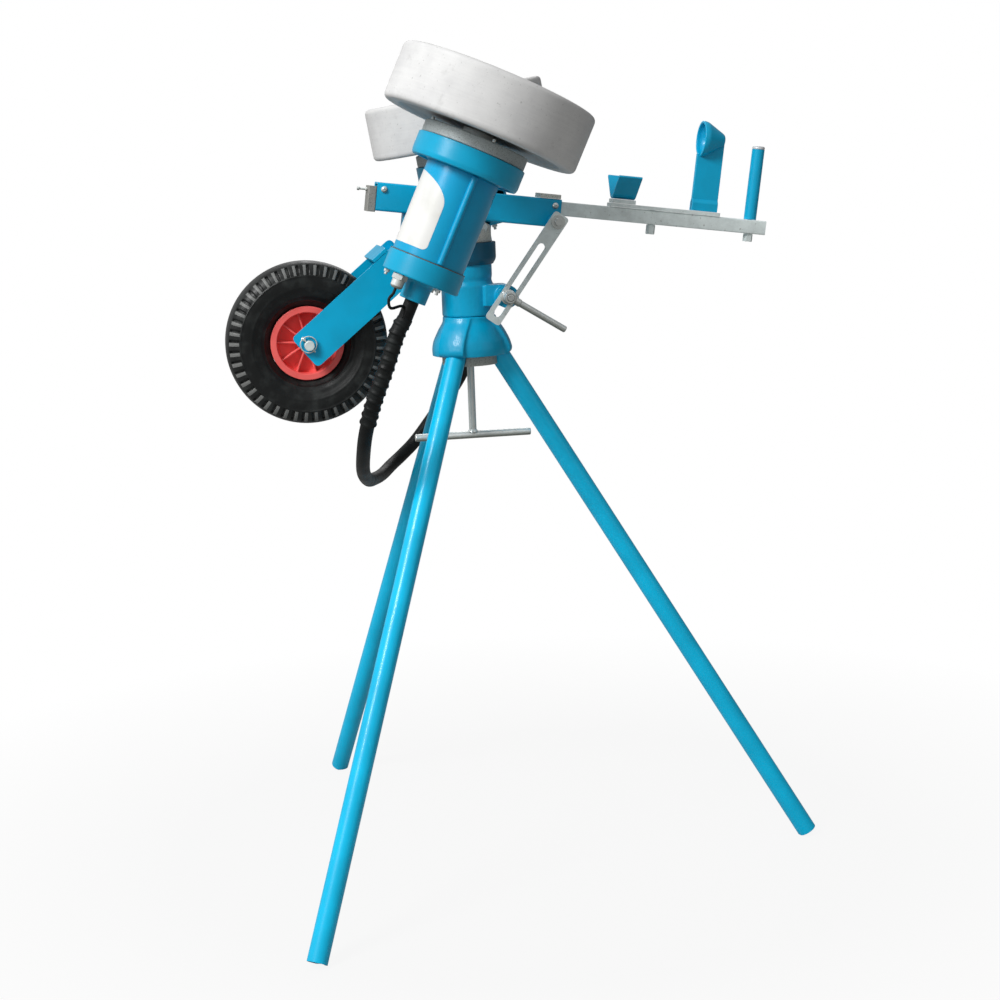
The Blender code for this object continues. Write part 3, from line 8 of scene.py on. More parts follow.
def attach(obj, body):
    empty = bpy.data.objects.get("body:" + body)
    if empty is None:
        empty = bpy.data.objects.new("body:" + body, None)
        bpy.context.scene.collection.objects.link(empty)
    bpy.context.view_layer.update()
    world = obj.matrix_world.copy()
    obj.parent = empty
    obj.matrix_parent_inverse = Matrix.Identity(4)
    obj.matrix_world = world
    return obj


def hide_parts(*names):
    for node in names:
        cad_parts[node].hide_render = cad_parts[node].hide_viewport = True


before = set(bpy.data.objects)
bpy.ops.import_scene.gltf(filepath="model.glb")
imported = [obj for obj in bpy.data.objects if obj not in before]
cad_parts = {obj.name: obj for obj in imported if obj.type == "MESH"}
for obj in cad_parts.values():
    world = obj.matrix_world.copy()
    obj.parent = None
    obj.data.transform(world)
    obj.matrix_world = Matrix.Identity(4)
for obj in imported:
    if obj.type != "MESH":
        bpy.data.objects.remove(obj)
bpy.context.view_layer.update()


# The camera looks down a little from the near side, 3.1 m off and level with the motors.
# It leans slightly, as the photograph does.
camera = bpy.data.cameras.new("camera")
camera.lens = 70.24
camera.sensor_width = 36.0
camera.shift_x = 0.0806
camera.shift_y = 0.0391
camera_object = bpy.data.objects.new("camera", camera)
camera_right = Vector((0.9902, -0.1324, -0.0438)).normalized()
camera_back = Vector((-0.1213, -0.9726, 0.1983)).normalized()
camera_up = camera_back.cross(camera_right).normalized()
camera_right = camera_up.cross(camera_back)
camera_turn = Matrix((camera_right, camera_up, camera_back)).transposed().to_4x4()
camera_object.matrix_world = Matrix.Translation((-0.5622, -3.1449, 1.175)) @ camera_turn
bpy.context.scene.collection.objects.link(camera_object)
bpy.context.scene.camera = camera_object
bpy.context.scene.view_settings.view_transform = "Standard"


# The hose: black rubber, from the boss under one motor to the boss under the other. Its
# upper stretch by the near motor is a ribbed sleeve with a cuff, and the rest is smooth.
class Value:
    """The output of a node; Python's operators on it add Math nodes to its tree."""

    def __init__(self, nodes, socket):
        self.nodes = nodes
        self.socket = socket

    def maths(self, operation, *values, **settings):
        sockets = dict(enumerate(values))
        return self.nodes.node("ShaderNodeMath", sockets, operation=operation, **settings)

    def __add__(self, other):
        return self.maths("ADD", self, other)

    def __sub__(self, other):
        return self.maths("SUBTRACT", self, other)

    def __rsub__(self, other):
        return self.maths("SUBTRACT", other, self)

    def __mul__(self, other):
        return self.maths("MULTIPLY", self, other)

    def __truediv__(self, other):
        return self.maths("DIVIDE", self, other)

    def __mod__(self, other):
        return self.maths("FLOORED_MODULO", self, other)

    def __gt__(self, other):
        return self.maths("GREATER_THAN", self, other)

    def __lt__(self, other):
        return self.maths("LESS_THAN", self, other)

    __radd__ = __add__
    __rmul__ = __mul__


class Nodes:
    """A node tree that is written as expressions."""

    def __init__(self, tree):
        self.tree = tree

    def node(self, kind, sockets=None, out=0, **settings):
        made = self.tree.nodes.new(kind)
        for key, value in settings.items():
            setattr(made, key, value)
        for key, value in (sockets or {}).items():
            if isinstance(value, Value):
                self.tree.links.new(value.socket, made.inputs[key])
            else:
                made.inputs[key].default_value = value
        return Value(self, made.outputs[out])

    def parts(self, vector):
        """The X, Y and Z of a vector, as three values."""
        split = self.tree.nodes.new("ShaderNodeSeparateXYZ")
        self.tree.links.new(vector.socket, split.inputs[0])
        return [Value(self, output) for output in split.outputs]


class Finish(Nodes):
    """A material with a Principled shader whose pattern follows Object coordinates."""

    def __init__(self, name, colour, roughness, metallic=0.0, **fixed):
        self.material = bpy.data.materials.new(name)
        self.material.use_nodes = True
        super().__init__(self.material.node_tree)
        self.shader = self.tree.nodes["Principled BSDF"]
        self.colour = (*colour, 1.0)
        self.shader.inputs["Base Color"].default_value = self.colour
        self.shader.inputs["Roughness"].default_value = roughness
        self.shader.inputs["Metallic"].default_value = metallic
        for socket, value in fixed.items():
            self.shader.inputs[socket.replace("_", " ")].default_value = value
        self.place = self.node("ShaderNodeTexCoord", out="Object")

    def feed(self, socket, value):
        self.tree.links.new(value.socket, self.shader.inputs[socket])

    def mapped(self, turn=None, stretch=(1.0, 1.0, 1.0)):
        """The Object coordinates in a piece's own frame, stretched along its axes."""
        if turn is None:
            turned_place = self.place
        else:
            back = turn.inverted()
            turned_place = self.node("ShaderNodeMapping", {
                "Vector": self.place, "Location": back.to_translation(),
                "Rotation": back.to_euler()})
        return self.node("ShaderNodeVectorMath", {0: turned_place, 1: stretch},
                         operation="MULTIPLY")

    def noise(self, scale, detail=3.0, where=None, roughness=0.5):
        return self.node("ShaderNodeTexNoise", {
            "Vector": where or self.place, "Scale": scale, "Detail": detail,
            "Roughness": roughness})

    def spread(self, value, low, high, start=0.0, end=1.0):
        """The value's stretch from low to high, spread from start to end and held there."""
        return self.node("ShaderNodeMapRange", {
            "Value": value, "From Min": low, "From Max": high, "To Min": start, "To Max": end})

    def mix(self, share, first, second):
        def colour(value):
            return value if isinstance(value, Value) else (*value[:3], 1.0)
        return self.node("ShaderNodeMix", {0: share, 6: colour(first), 7: colour(second)}, out=2,
                         data_type="RGBA")

    def bump(self, height, depth):
        """A Bump whose height of one stands this many metres proud."""
        return self.node("ShaderNodeBump", {"Height": height, "Distance": depth,
                                            "Strength": 1.0})


def add_piece(name, shape, finish, body, replaces=(), where=None, smooth=40.0):
    """A finished piece from a bmesh, its place worked into its mesh."""
    if where is not None:
        bmesh.ops.transform(shape, matrix=where, verts=shape.verts)
    mesh = bpy.data.meshes.new(name)
    shape.to_mesh(mesh)
    shape.free()
    mesh.shade_smooth()
    if smooth < 180.0:
        mesh.set_sharp_from_angle(angle=radians(smooth))
    made = bpy.data.objects.new(name, mesh)
    bpy.context.scene.collection.objects.link(made)
    mesh.materials.append(finish.material)
    weighted = made.modifiers.new("even_shading", "WEIGHTED_NORMAL")
    weighted.keep_sharp = True
    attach(made, body)
    if replaces:
        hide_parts(*replaces)
    return made


def at(x=0.0, y=0.0, z=0.0, turn_y=0.0, turn_z=0.0):
    """A place with a turn about Z, then about Y, in degrees."""
    return (Matrix.Translation((x, y, z)) @ Matrix.Rotation(radians(turn_z), 4, "Z")
            @ Matrix.Rotation(radians(turn_y), 4, "Y"))


column = at(-0.078561, -0.034539, 0.0)
turret = column @ at(z=0.902)
beam = turret @ at(0.0245, 0.0, 0.140, turn_y=8.0) @ at(0.0045, 0.0, 0.0005)
motor_places = {"near": beam @ at(-0.0463, -0.228, 0.1753, turn_y=16.8),
                "far": beam @ at(-0.0248, 0.228, 0.1705, turn_y=-16.8)}
boss_ends = {"near": -0.3020, "far": -0.2135}       # below the wheel's middle
hose_lead = 0.028
hose_route = [(-0.143, -0.228, 0.902), (-0.163, -0.222, 0.847), (-0.181, -0.208, 0.798),
              (-0.192, -0.188, 0.755), (-0.195, -0.155, 0.718), (-0.190, -0.080, 0.673),
              (-0.171, 0.040, 0.638), (-0.151, 0.135, 0.623), (-0.130, 0.205, 0.618),
              (-0.108, 0.250, 0.626), (-0.084, 0.275, 0.640), (-0.057, 0.287, 0.663),
              (-0.018, 0.285, 0.713), (0.021, 0.274, 0.768), (0.042, 0.263, 0.816),
              (0.054, 0.252, 0.868), (0.061, 0.241, 0.928)]
hose_radius = 0.0115
gap = 0.0003            # between neighbouring pieces


def curve_point(a, b, c, d, t):
    """The place a share t of the way from b to c on a Catmull-Rom curve."""
    return 0.5 * (2 * b + (c - a) * t + (2 * a - 5 * b + 4 * c - d) * t ** 2
                  + (3 * b - a - 3 * c + d) * t ** 3)


def smooth_route(points, steps=12):
    """A Catmull-Rom curve through the points, straight in its first and last stretch."""
    start = points[2] - 2 * (points[1] - points[0]).normalized() * (points[2] - points[1]).length
    end = points[-3] - 2 * (points[-2] - points[-1]).normalized() * (points[-2] - points[-3]).length
    ends = [start] + points[1:-1] + [end]
    fine = [points[0]]
    for a, b, c, d in zip(ends, ends[1:], ends[2:], ends[3:]):
        fine += [curve_point(a, b, c, d, i / steps) for i in range(steps)]
    return fine + points[-2:]


hose_ends = [[motor_places[side] @ Vector((0, 0, boss_ends[side] - gap - lead))
              for lead in (0.0, hose_lead)] for side in ("near", "far")]
hose_line = smooth_route(hose_ends[0] + [column @ Vector(p) for p in hose_route]
                         + hose_ends[1][::-1])
hose_length = sum((b - a).length for a, b in zip(hose_line, hose_line[1:]))

rubber = Finish("hose_rubber", (0.004, 0.005, 0.005), 0.42, Specular_IOR_Level=0.2)
dust = rubber.noise(45.0, 5.0)
rubber.feed("Base Color", rubber.mix(rubber.spread(dust, 0.45, 0.75), rubber.colour,
                                     (0.014, 0.017, 0.017)))
rubber.feed("Roughness", rubber.spread(dust, 0.3, 0.7, 0.36, 0.58))
rubber.feed("Normal", rubber.bump(rubber.noise(900.0, 2.0), 0.00025))


def geometry_tree(name, inputs):
    """A Geometry Nodes tree with named inputs, each (name, socket type, value)."""
    tree = bpy.data.node_groups.new(name, "GeometryNodeTree")
    tree.interface.new_socket("Geometry", in_out="INPUT", socket_type="NodeSocketGeometry")
    for label, kind, value in inputs:
        socket = tree.interface.new_socket(label, in_out="INPUT", socket_type=kind)
        if value is not None:
            socket.default_value = value
    tree.interface.new_socket("Geometry", in_out="OUTPUT", socket_type="NodeSocketGeometry")
    nodes = Nodes(tree)
    group = tree.nodes.new("NodeGroupInput")
    return nodes, {socket.name: Value(nodes, socket) for socket in group.outputs if socket.name}


def end_tree(nodes, shape, finish):
    """Closes a tree with Realize Instances and Set Material."""
    real = nodes.node("GeometryNodeRealizeInstances", {0: shape})
    painted = nodes.node("GeometryNodeSetMaterial", {"Geometry": real, "Material": finish})
    last = nodes.tree.nodes.new("NodeGroupOutput")
    nodes.tree.links.new(painted.socket, last.inputs[0])


def grown(name, tree, values, base=None):
    """The mesh that a tree makes from a base mesh and its named inputs, as a bmesh."""
    maker = bpy.data.objects.new(name, base or bpy.data.meshes.new(name))
    bpy.context.scene.collection.objects.link(maker)
    step = maker.modifiers.new(name, "NODES")
    step.node_group = tree
    for item in tree.interface.items_tree:
        if item.in_out == "INPUT" and item.name in values:
            step[item.identifier] = values[item.name]
    bpy.context.view_layer.update()
    evaluated = maker.evaluated_get(bpy.context.evaluated_depsgraph_get())
    mesh = bpy.data.meshes.new_from_object(evaluated)
    bpy.data.objects.remove(maker, do_unlink=True)
    shape = bmesh.new()
    shape.from_mesh(mesh)
    bmesh.ops.remove_doubles(shape, verts=shape.verts, dist=1e-6)
    bmesh.ops.recalc_face_normals(shape, faces=shape.faces)
    bpy.data.meshes.remove(mesh)
    return shape


def line_mesh(points):
    mesh = bpy.data.meshes.new("line")
    mesh.from_pydata([tuple(p) for p in points], [(i, i + 1) for i in range(len(points) - 1)], [])
    return mesh


# Ribbed hose: the radius swells to a lip at the lower end of every band
tree, given = geometry_tree("ribbed_hose", [
    ("Radius", "NodeSocketFloat", hose_radius - 0.0005), ("Band Radius", "NodeSocketFloat", 0.0119),
    ("Lip Radius", "NodeSocketFloat", 0.0136), ("First Band", "NodeSocketFloat", hose_lead),
    ("Last Band", "NodeSocketFloat", 0.2), ("Pitch", "NodeSocketFloat", 0.0135),
    ("Step", "NodeSocketFloat", 0.001), ("Finish", "NodeSocketMaterial", None)])
curve = tree.node("GeometryNodeMeshToCurve", {"Mesh": given["Geometry"]})
curve = tree.node("GeometryNodeResampleCurve", {"Curve": curve, "Length": given["Step"]},
                  mode="LENGTH")
along = tree.node("GeometryNodeSplineParameter", out="Length")
in_bands = (along > given["First Band"]) * (along < given["Last Band"])
share = ((along - given["First Band"]) % given["Pitch"]) / given["Pitch"]
lip = tree.node("ShaderNodeMapRange", {"Value": share, "From Min": 0.45, "From Max": 0.85},
                interpolation_type="SMOOTHSTEP")
groove = tree.node("ShaderNodeMapRange", {"Value": share, "From Min": 0.90, "From Max": 1.0},
                   interpolation_type="SMOOTHSTEP")
ribbed = given["Band Radius"] + (given["Lip Radius"] - given["Band Radius"]) * (lip - groove)
radius = given["Radius"] + (ribbed - given["Radius"]) * in_bands
curve = tree.node("GeometryNodeSetCurveRadius", {"Curve": curve, "Radius": radius})
ring = tree.node("GeometryNodeCurvePrimitiveCircle", {"Resolution": 28, "Radius": 1.0})
tube = tree.node("GeometryNodeCurveToMesh", {
    "Curve": curve, "Profile Curve": ring, "Scale": radius, "Fill Caps": True})
end_tree(tree, tube, given["Finish"])

bands_end = hose_lead + 13 * 0.0135
shape = grown("motor_hose_form", tree.tree, {"Last Band": bands_end, "Finish": rubber.material},
              line_mesh(hose_line))
hose = add_piece("hose", shape, rubber, "head", ["motor_hose"], smooth=60.0)


# Every other piece is drawn from profiles and outlines, and its edges are rounded as the
# real ones are. The legs are three steel tubes with square cut ends, in gloss blue paint.
def rounded(points, radius=0.001, steps=4, closed=True):
    """An outline with rounded corners; a point may carry its own radius as a third value."""
    made = []
    for i, point in enumerate(points):
        here = Vector(point[:2])
        if not closed and i in (0, len(points) - 1):
            made.append(tuple(here))
            continue
        before = Vector(points[i - 1][:2]) - here
        after = Vector(points[(i + 1) % len(points)][:2]) - here
        reach = min(point[2] if len(point) > 2 else radius, 0.48 * before.length,
                    0.48 * after.length)
        first = here + before.normalized() * reach
        last = here + after.normalized() * reach
        for step in range(steps + 1):
            t = step / steps
            made.append(tuple(first * (1 - t) ** 2 + here * 2 * t * (1 - t) + last * t * t))
    return made


def lathe(profile, sides=96):
    """A profile of (radius, height) turned about Z; one that starts on the axis is solid."""
    shape = bmesh.new()
    rings = []
    for r, h in profile:
        if r < 1e-7:
            rings.append([shape.verts.new((0.0, 0.0, h))] * sides)
        else:
            rings.append([shape.verts.new((r * cos(2 * pi * i / sides),
                                           r * sin(2 * pi * i / sides), h)) for i in range(sides)])
    following = rings[1:] + ([] if profile[0][0] < 1e-7 else rings[:1])
    for one, other in zip(rings, following):
        for i in range(sides):
            j = (i + 1) % sides
            corners = list(dict.fromkeys((one[i], one[j], other[j], other[i])))
            if len(corners) > 2:
                shape.faces.new(corners)
    bmesh.ops.recalc_face_normals(shape, faces=shape.faces)
    return shape


def turned(profile, edge=0.001, sides=96, steps=4):
    """A turned shape with rounded corners, solid where its profile starts on the axis."""
    return lathe(rounded(profile, edge, steps, closed=profile[0][0] > 0.0), sides)


def round_bar(radius, low, high, edge=0.0006, sides=64):
    return turned([(0.0, high), (radius, high), (radius, low), (0.0, low)], edge, sides)


def round_ring(outer, inner, low, high, edge=0.0008, sides=96):
    return turned([(outer, high), (outer, low), (inner, low), (inner, high)], edge, sides)


def extruded(outer, low, high, inner=None):
    """An outline in X and Y drawn out along Z, with one hole through it where given."""
    shape = bmesh.new()
    loops = [[[shape.verts.new((x, y, z)) for x, y in outline] for z in (low, high)]
             for outline in ([outer, inner] if inner else [outer])]
    for under, over in loops:
        for i in range(len(under)):
            j = (i + 1) % len(under)
            shape.faces.new((under[i], under[j], over[j], over[i]))
    for end in (0, 1):
        if inner:
            ring, hole = loops[0][end], loops[1][end]
            for i in range(len(ring)):
                j = (i + 1) % len(ring)
                shape.faces.new((ring[i], ring[j], hole[j], hole[i]))
        else:
            shape.faces.new(loops[0][end])
    bmesh.ops.recalc_face_normals(shape, faces=shape.faces)
    return shape


def oblong(x_low, y_low, x_high, y_high, corner=0.002, steps=5):
    return rounded([(x_low, y_low), (x_high, y_low), (x_high, y_high), (x_low, y_high)], corner,
                   steps)


def block(low, high, corner=0.001):
    """A box whose upright edges are rounded; its other edges are for edge()."""
    return extruded(oblong(low[0], low[1], high[0], high[1], corner), low[2], high[2])


def edge(width=0.0006, segments=3, angle=35.0):
    """A step that rounds the edges sharper than an angle."""
    return ("BEVEL", {"width": width, "segments": segments, "limit_method": "ANGLE",
                      "angle_limit": radians(angle), "harden_normals": False})


def less(shape):
    return ("BOOLEAN", {"operation": "DIFFERENCE", "solver": "MANIFOLD", "object": shape})


def plus(shape):
    return ("BOOLEAN", {"operation": "UNION", "solver": "MANIFOLD", "object": shape})


def within(shape):
    return ("BOOLEAN", {"operation": "INTERSECT", "solver": "MANIFOLD", "object": shape})


def cast(voxel=0.0012, rounds=8):
    """Two steps that fill the inner corners of a shape and round its edges, as a casting's."""
    return [("REMESH", {"mode": "VOXEL", "voxel_size": voxel}),
            ("SMOOTH", {"factor": 0.5, "iterations": rounds})]


def worked(shape, *steps):
    """The shape after its modifiers; a bmesh among their settings becomes an object first."""
    used = []

    def solid(form):
        mesh = bpy.data.meshes.new("work")
        form.to_mesh(mesh)
        form.free()
        made = bpy.data.objects.new("work", mesh)
        bpy.context.scene.collection.objects.link(made)
        used.append(made)
        return made

    maker = solid(shape)
    for kind, settings in steps:
        step = maker.modifiers.new(kind.lower(), kind)
        for key, value in settings.items():
            setattr(step, key, solid(value) if isinstance(value, bmesh.types.BMesh) else value)
    bpy.context.view_layer.update()
    evaluated = maker.evaluated_get(bpy.context.evaluated_depsgraph_get())
    mesh = bpy.data.meshes.new_from_object(evaluated)
    for made in used:
        bpy.data.objects.remove(made, do_unlink=True)
    result = bmesh.new()
    result.from_mesh(mesh)
    bpy.data.meshes.remove(mesh)
    return result


def placed(shape, where):
    bmesh.ops.transform(shape, matrix=where, verts=shape.verts)
    return shape


def together(*shapes):
    """Several shapes as one, each still closed in itself."""
    for other in shapes[1:]:
        mesh = bpy.data.meshes.new("work")
        other.to_mesh(mesh)
        other.free()
        shapes[0].from_mesh(mesh)
        bpy.data.meshes.remove(mesh)
    return shapes[0]


def paint(name, colour, roughness=0.28, metallic=0.0, coat=0.1):
    """Gloss paint on metal: cloudy by a few percent, faint orange peel, fine scratches."""
    finish = Finish(name, colour, roughness, metallic, Coat_Weight=coat,
                    Specular_IOR_Level=0.3)
    cloud = finish.spread(finish.noise(14.0, 4.0), 0.35, 0.65)
    scratch = finish.noise(60.0, 6.0, finish.mapped(stretch=(1.0, 1.0, 0.12)), 0.7)
    scratched = finish.spread(scratch, 0.66, 0.70)
    faded = tuple(0.84 * value for value in colour)
    worn = tuple(min(1.0, 1.12 * value + 0.05) for value in colour)
    finish.feed("Base Color", finish.mix(scratched * 0.5, finish.mix(cloud, finish.colour, faded),
                                         worn))
    finish.feed("Roughness", finish.spread(cloud + scratched * 0.6, 0.0, 1.6, roughness,
                                           roughness + 0.16))
    finish.feed("Normal", finish.bump(finish.noise(420.0, 2.0), 0.00012))
    return finish


def plated(name, colour, roughness, mottle=0.12, grain=260.0, under=0.0, metallic=0.5):
    """Plated steel: mottled, with a fine grain and a few dull spots, and a painted shade that
    darkens the underside where it faces down, as strongly as under says.
    """
    finish = Finish(name, colour, roughness, metallic)
    cloud = finish.spread(finish.noise(38.0, 6.0, roughness=0.65), 0.38, 0.62)
    duller = tuple(value * (1.0 - 2.4 * mottle) for value in colour)
    spots = finish.spread(finish.noise(150.0, 4.0), 0.64, 0.72)
    # Painted shade: where the surface faces down, its colour darkens towards a dark olive. This
    # stands in for the shade and dark reflections under it.
    facing_up = finish.parts(finish.node("ShaderNodeTexCoord", out="Normal"))[2]
    painted_underside_shade = finish.spread(facing_up, -0.5, 0.25, under, 0.0)
    bright = finish.mix(cloud, finish.colour, duller)
    finish.feed("Base Color", finish.mix(
        painted_underside_shade, finish.mix(spots * 0.4, bright, (0.16, 0.15, 0.13)), (0.10, 0.11, 0.08)))
    finish.feed("Roughness", finish.spread(cloud, 0.0, 1.0, roughness, roughness + mottle))
    finish.feed("Normal", finish.bump(finish.noise(grain, 3.0), 0.0001))
    return finish


blue_paint = paint("blue_paint", (0.0, 0.43, 0.72))
leg_paint = paint("leg_paint", (0.0, 0.57, 0.92))
leg_angle = 30.64
leg_height = 0.865
leg_length = leg_height / cos(radians(leg_angle))
leg_reach = 0.0315 + leg_height * tan(radians(leg_angle))
leg_radius, leg_wall = 0.015875, 0.002
leg_turns = {"near": -127.4, "right": -7.4, "far": 112.6}
leg_foot_up = leg_radius * tan(radians(leg_angle)) - leg_wall / cos(radians(leg_angle))
leg_places = {side: column @ at(leg_reach * cos(radians(turn)), leg_reach * sin(radians(turn)),
                                turn_y=-leg_angle, turn_z=turn)
              for side, turn in leg_turns.items()}
for side, place in leg_places.items():
    leg = placed(round_ring(leg_radius, leg_radius - leg_wall, leg_foot_up, leg_length, 0.0004, 80),
                 place)
    floor_cut = block((-1.0, -1.0, -0.5), (1.0, 1.0, 0.0))
    add_piece("leg_tube_" + side, worked(leg, less(floor_cut)), leg_paint, "tripod",
              ["leg_" + side])


# The tripod head is an iron casting in the same blue: a skirt that flares over three
# sockets for the legs. Under it a round clamp disc is notched to fit between the legs.
def leg_bores(radius):
    """The three legs' axes as bars from their middles to past their tops."""
    return [placed(round_bar(radius, leg_length / 2, leg_length + gap, 0.0, 48), place)
            for place in leg_places.values()]


head_bottom, head_top = 0.8395, 0.902
skirt = [(0.0, head_top), (0.043, head_top, 0.002), (0.0463, 0.8935, 0.003),
         (0.0560, 0.8800, 0.01), (0.0650, 0.8625, 0.01), (0.0688, 0.8485, 0.003),
         (0.0672, 0.8430, 0.003), (0.0612, head_bottom, 0.002), (0.0, head_bottom)]
core = [plus(placed(block((0.010, -0.023, head_bottom - 0.020), (0.077, 0.023, head_top + 0.020),
                          0.008), at(turn_z=turn))) for turn in leg_turns.values()]
core.append(plus(lathe([(0.0, head_top + 0.02), (0.041, head_top + 0.02), (0.042, 0.893),
                        (0.0500, 0.8800), (0.0585, 0.8625), (0.0610, 0.850),
                        (0.0590, head_bottom - 0.02), (0.0, head_bottom - 0.02)])))
head = worked(round_bar(0.0415, head_bottom - 0.020, head_top + 0.020, 0.001), *core,
              *cast(0.0022, 10))
head = worked(head, within(turned(skirt)), *cast(0.0013, 3))
head = worked(placed(head, column), *[less(bore) for bore in leg_bores(leg_radius + gap)],
              less(placed(round_bar(0.0143, head_top - 0.0223, head_top + 0.01), column)),
              less(placed(round_bar(0.0063, head_bottom - 0.01, head_top), column)))
cast_blue = paint("cast_blue_paint", (0.0, 0.40, 0.67), 0.30)
cast_blue.feed("Normal", cast_blue.bump(cast_blue.noise(130.0, 4.0), 0.0006))
add_piece("head_casting", head, cast_blue, "tripod", ["tripod_head"])


def casting(name, colour, depth=0.0007):
    """Cast metal: a sand grain, darker in its pits and cloudy by a few percent."""
    finish = Finish(name, colour, 0.55, 0.35, Specular_IOR_Level=0.35)
    grain = finish.noise(560.0, 4.0, roughness=0.7)
    pits = finish.spread(grain, 0.34, 0.50)
    dark = tuple(0.55 * value for value in colour)
    cloud = finish.spread(finish.noise(30.0, 3.0), 0.35, 0.65, 0.0, 0.35)
    pale = tuple(min(1.0, 1.25 * value) for value in colour)
    finish.feed("Base Color", finish.mix(pits, dark, finish.mix(cloud, finish.colour, pale)))
    finish.feed("Roughness", finish.spread(grain, 0.3, 0.7, 0.7, 0.42))
    finish.feed("Normal", finish.bump(grain, depth))
    return finish


grey_casting = casting("grey_casting", (0.42, 0.43, 0.40))
disc = worked(placed(round_ring(0.045, 0.0063, head_bottom - 0.0158, head_bottom - gap, 0.002),
                     column), *[less(bore) for bore in leg_bores(leg_radius + 0.001)], edge(0.0008))
add_piece("clamp_disc_casting", disc, grey_casting, "tripod", ["clamp_disc"])


# The T handle is a bright steel screw with a cross bar welded through its lower end. It
# screws up through the disc and the head, and clamps the turret.
# The bright steel's underside gets the painted shade at a strength of 0.8.
bright_steel = plated("bright_steel", (0.90, 0.94, 0.92), 0.16, 0.05, 500.0, 0.8, 0.4)
t_place = column @ at(z=0.708)
t_screw = together(round_bar(0.006, 0.0, 0.196, 0.001),
                   placed(round_bar(0.006, -0.095, 0.095, 0.002), at(turn_y=90.0)),
                   lathe([(0.0, 0.009), (0.0062, 0.009), (0.0074, 0.0072), (0.0086, 0.0052),
                          (0.0, 0.0050)], 48))
add_piece("t_handle_bar", t_screw, bright_steel, "t_screw", ["t_handle"],
          t_place)

# The turret is a blue iron casting that swivels on the head: a drum, a neck under a band painted
# dark blue as painted shade from the motor above it, and a lug that holds the clamp's stud. The
# pale block on top is bare metal.
lug_x, lug_z = 0.0548, 0.0306
flat = Matrix.Rotation(radians(90), 4, "X")
profile = [(0.0, 0.116), (0.040, 0.116, 0.001), (0.040, 0.062, 0.004), (0.0385, 0.056, 0.004),
           (0.042, 0.048, 0.003), (0.042, 0.0003, 0.002), (0.0, 0.0003)]
body = worked(turned(profile), plus(block((0.020, -0.0418, lug_z - 0.0144),
                                          (lug_x, 0.005, lug_z + 0.018), 0.003)),
              plus(placed(round_bar(0.018, -0.005, 0.0597, 0.0015), at(lug_x, 0.0, lug_z) @ flat)),
              *cast(0.0011, 6))
body = worked(body, within(block((-0.1, -0.0597, 0.0003), (0.0728, 0.1, 0.1158), 0.001)),
              less(placed(round_bar(0.0058, -0.02, 0.07), at(lug_x, 0.0, lug_z) @ flat)))
body = worked(body, less(round_bar(0.0066, -0.01, 0.004)))
spigot = round_ring(0.014, 0.0066, -0.022, 0.002, 0.001)
add_piece("turret_casting", together(body, spigot), cast_blue, "turret",
          ["turret_body"], turret)

# On the neck band this dark blue is painted shade for the motor's shadow. The motor arms are the
# same dark blue.
dark_blue_paint = paint("dark_blue_paint", (0.0, 0.10, 0.18), 0.32)
band = turned([(0.0475, 0.116, 0.0015), (0.0475, 0.089, 0.004), (0.0425, 0.081, 0.003),
               (0.0403, 0.081), (0.0403, 0.116)], 0.0006)
add_piece("neck_band", band, dark_blue_paint, "turret", ["collar_band"],
          turret)

bolt_hole = 0.0043           # radius of a hole for an 8 mm bolt or pin
pale_metal = casting("pale_casting", (0.66, 0.67, 0.62), 0.0003)
pivot = (0.0245, 0.0, 0.140)
relief = placed(block((0.0245 - 0.082, -0.082, 0.140 + 0.0095 - 0.0018), (0.1065, 0.082, 0.222)),
                at(*pivot) @ at(turn_y=28.0) @ at(*(-value for value in pivot)))
shaped = worked(round_bar(0.041, 0.1163, 0.1483, 0.0012, 96),
                less(block((-0.082, -0.0093, 0.123), (0.082, 0.0093, 0.1493))), less(relief),
                less(placed(round_bar(bolt_hole, -0.08, 0.08), at(*pivot) @ flat)), edge(0.0007))
add_piece("pivot_casting", shaped, pale_metal, "turret", ["pivot_block"], turret)

zinc = plated("zinc_plate", (0.84, 0.93, 0.92), 0.36, 0.08, metallic=0.25)
seat = 0.02683
pin = turned([(0.0, seat + 0.0043), (0.0065, seat + 0.0043), (0.0065, seat + gap),
              (0.004, seat + gap), (0.004, -seat), (0.0, -seat)], 0.0006, 48)
add_piece("tilt_pin", pin, zinc, "turret", ["pivot_pin"],
          turret @ at(*pivot) @ flat)


# The clamp: a steel stud with a hexagon head behind the lug, and outside the slotted link
# a bright nut with a bar screwed into it, that is turned by hand.
def hexagon(across, low, high, bore=0.0):
    """A nut or bolt head with chamfered corners, its width measured across the corners."""
    corners = [(across / 2 * cos(pi * i / 3), across / 2 * sin(pi * i / 3)) for i in range(6)]
    shape = extruded(corners, low, high)
    chamfer = (high - low) * 0.14
    round_off = lathe([(0.0, high), (across * 0.44, high), (across * 0.52, high - chamfer),
                       (across * 0.52, low + chamfer), (across * 0.44, low), (0.0, low)], 64)
    steps = [within(round_off)]
    if bore:
        steps.append(less(round_bar(bore, low - 0.01, high + 0.01, 0.0, 48)))
    return worked(shape, *steps, edge(0.0002, 2))


lug_place = turret @ at(lug_x, 0.0, lug_z) @ flat
stud = together(round_bar(0.0055, -0.008, 0.089, 0.0012), hexagon(0.022, -0.011, -0.0053))
add_piece("clamp_bolt", stud, bright_steel, "turret", ["clamp_stud"], lug_place)

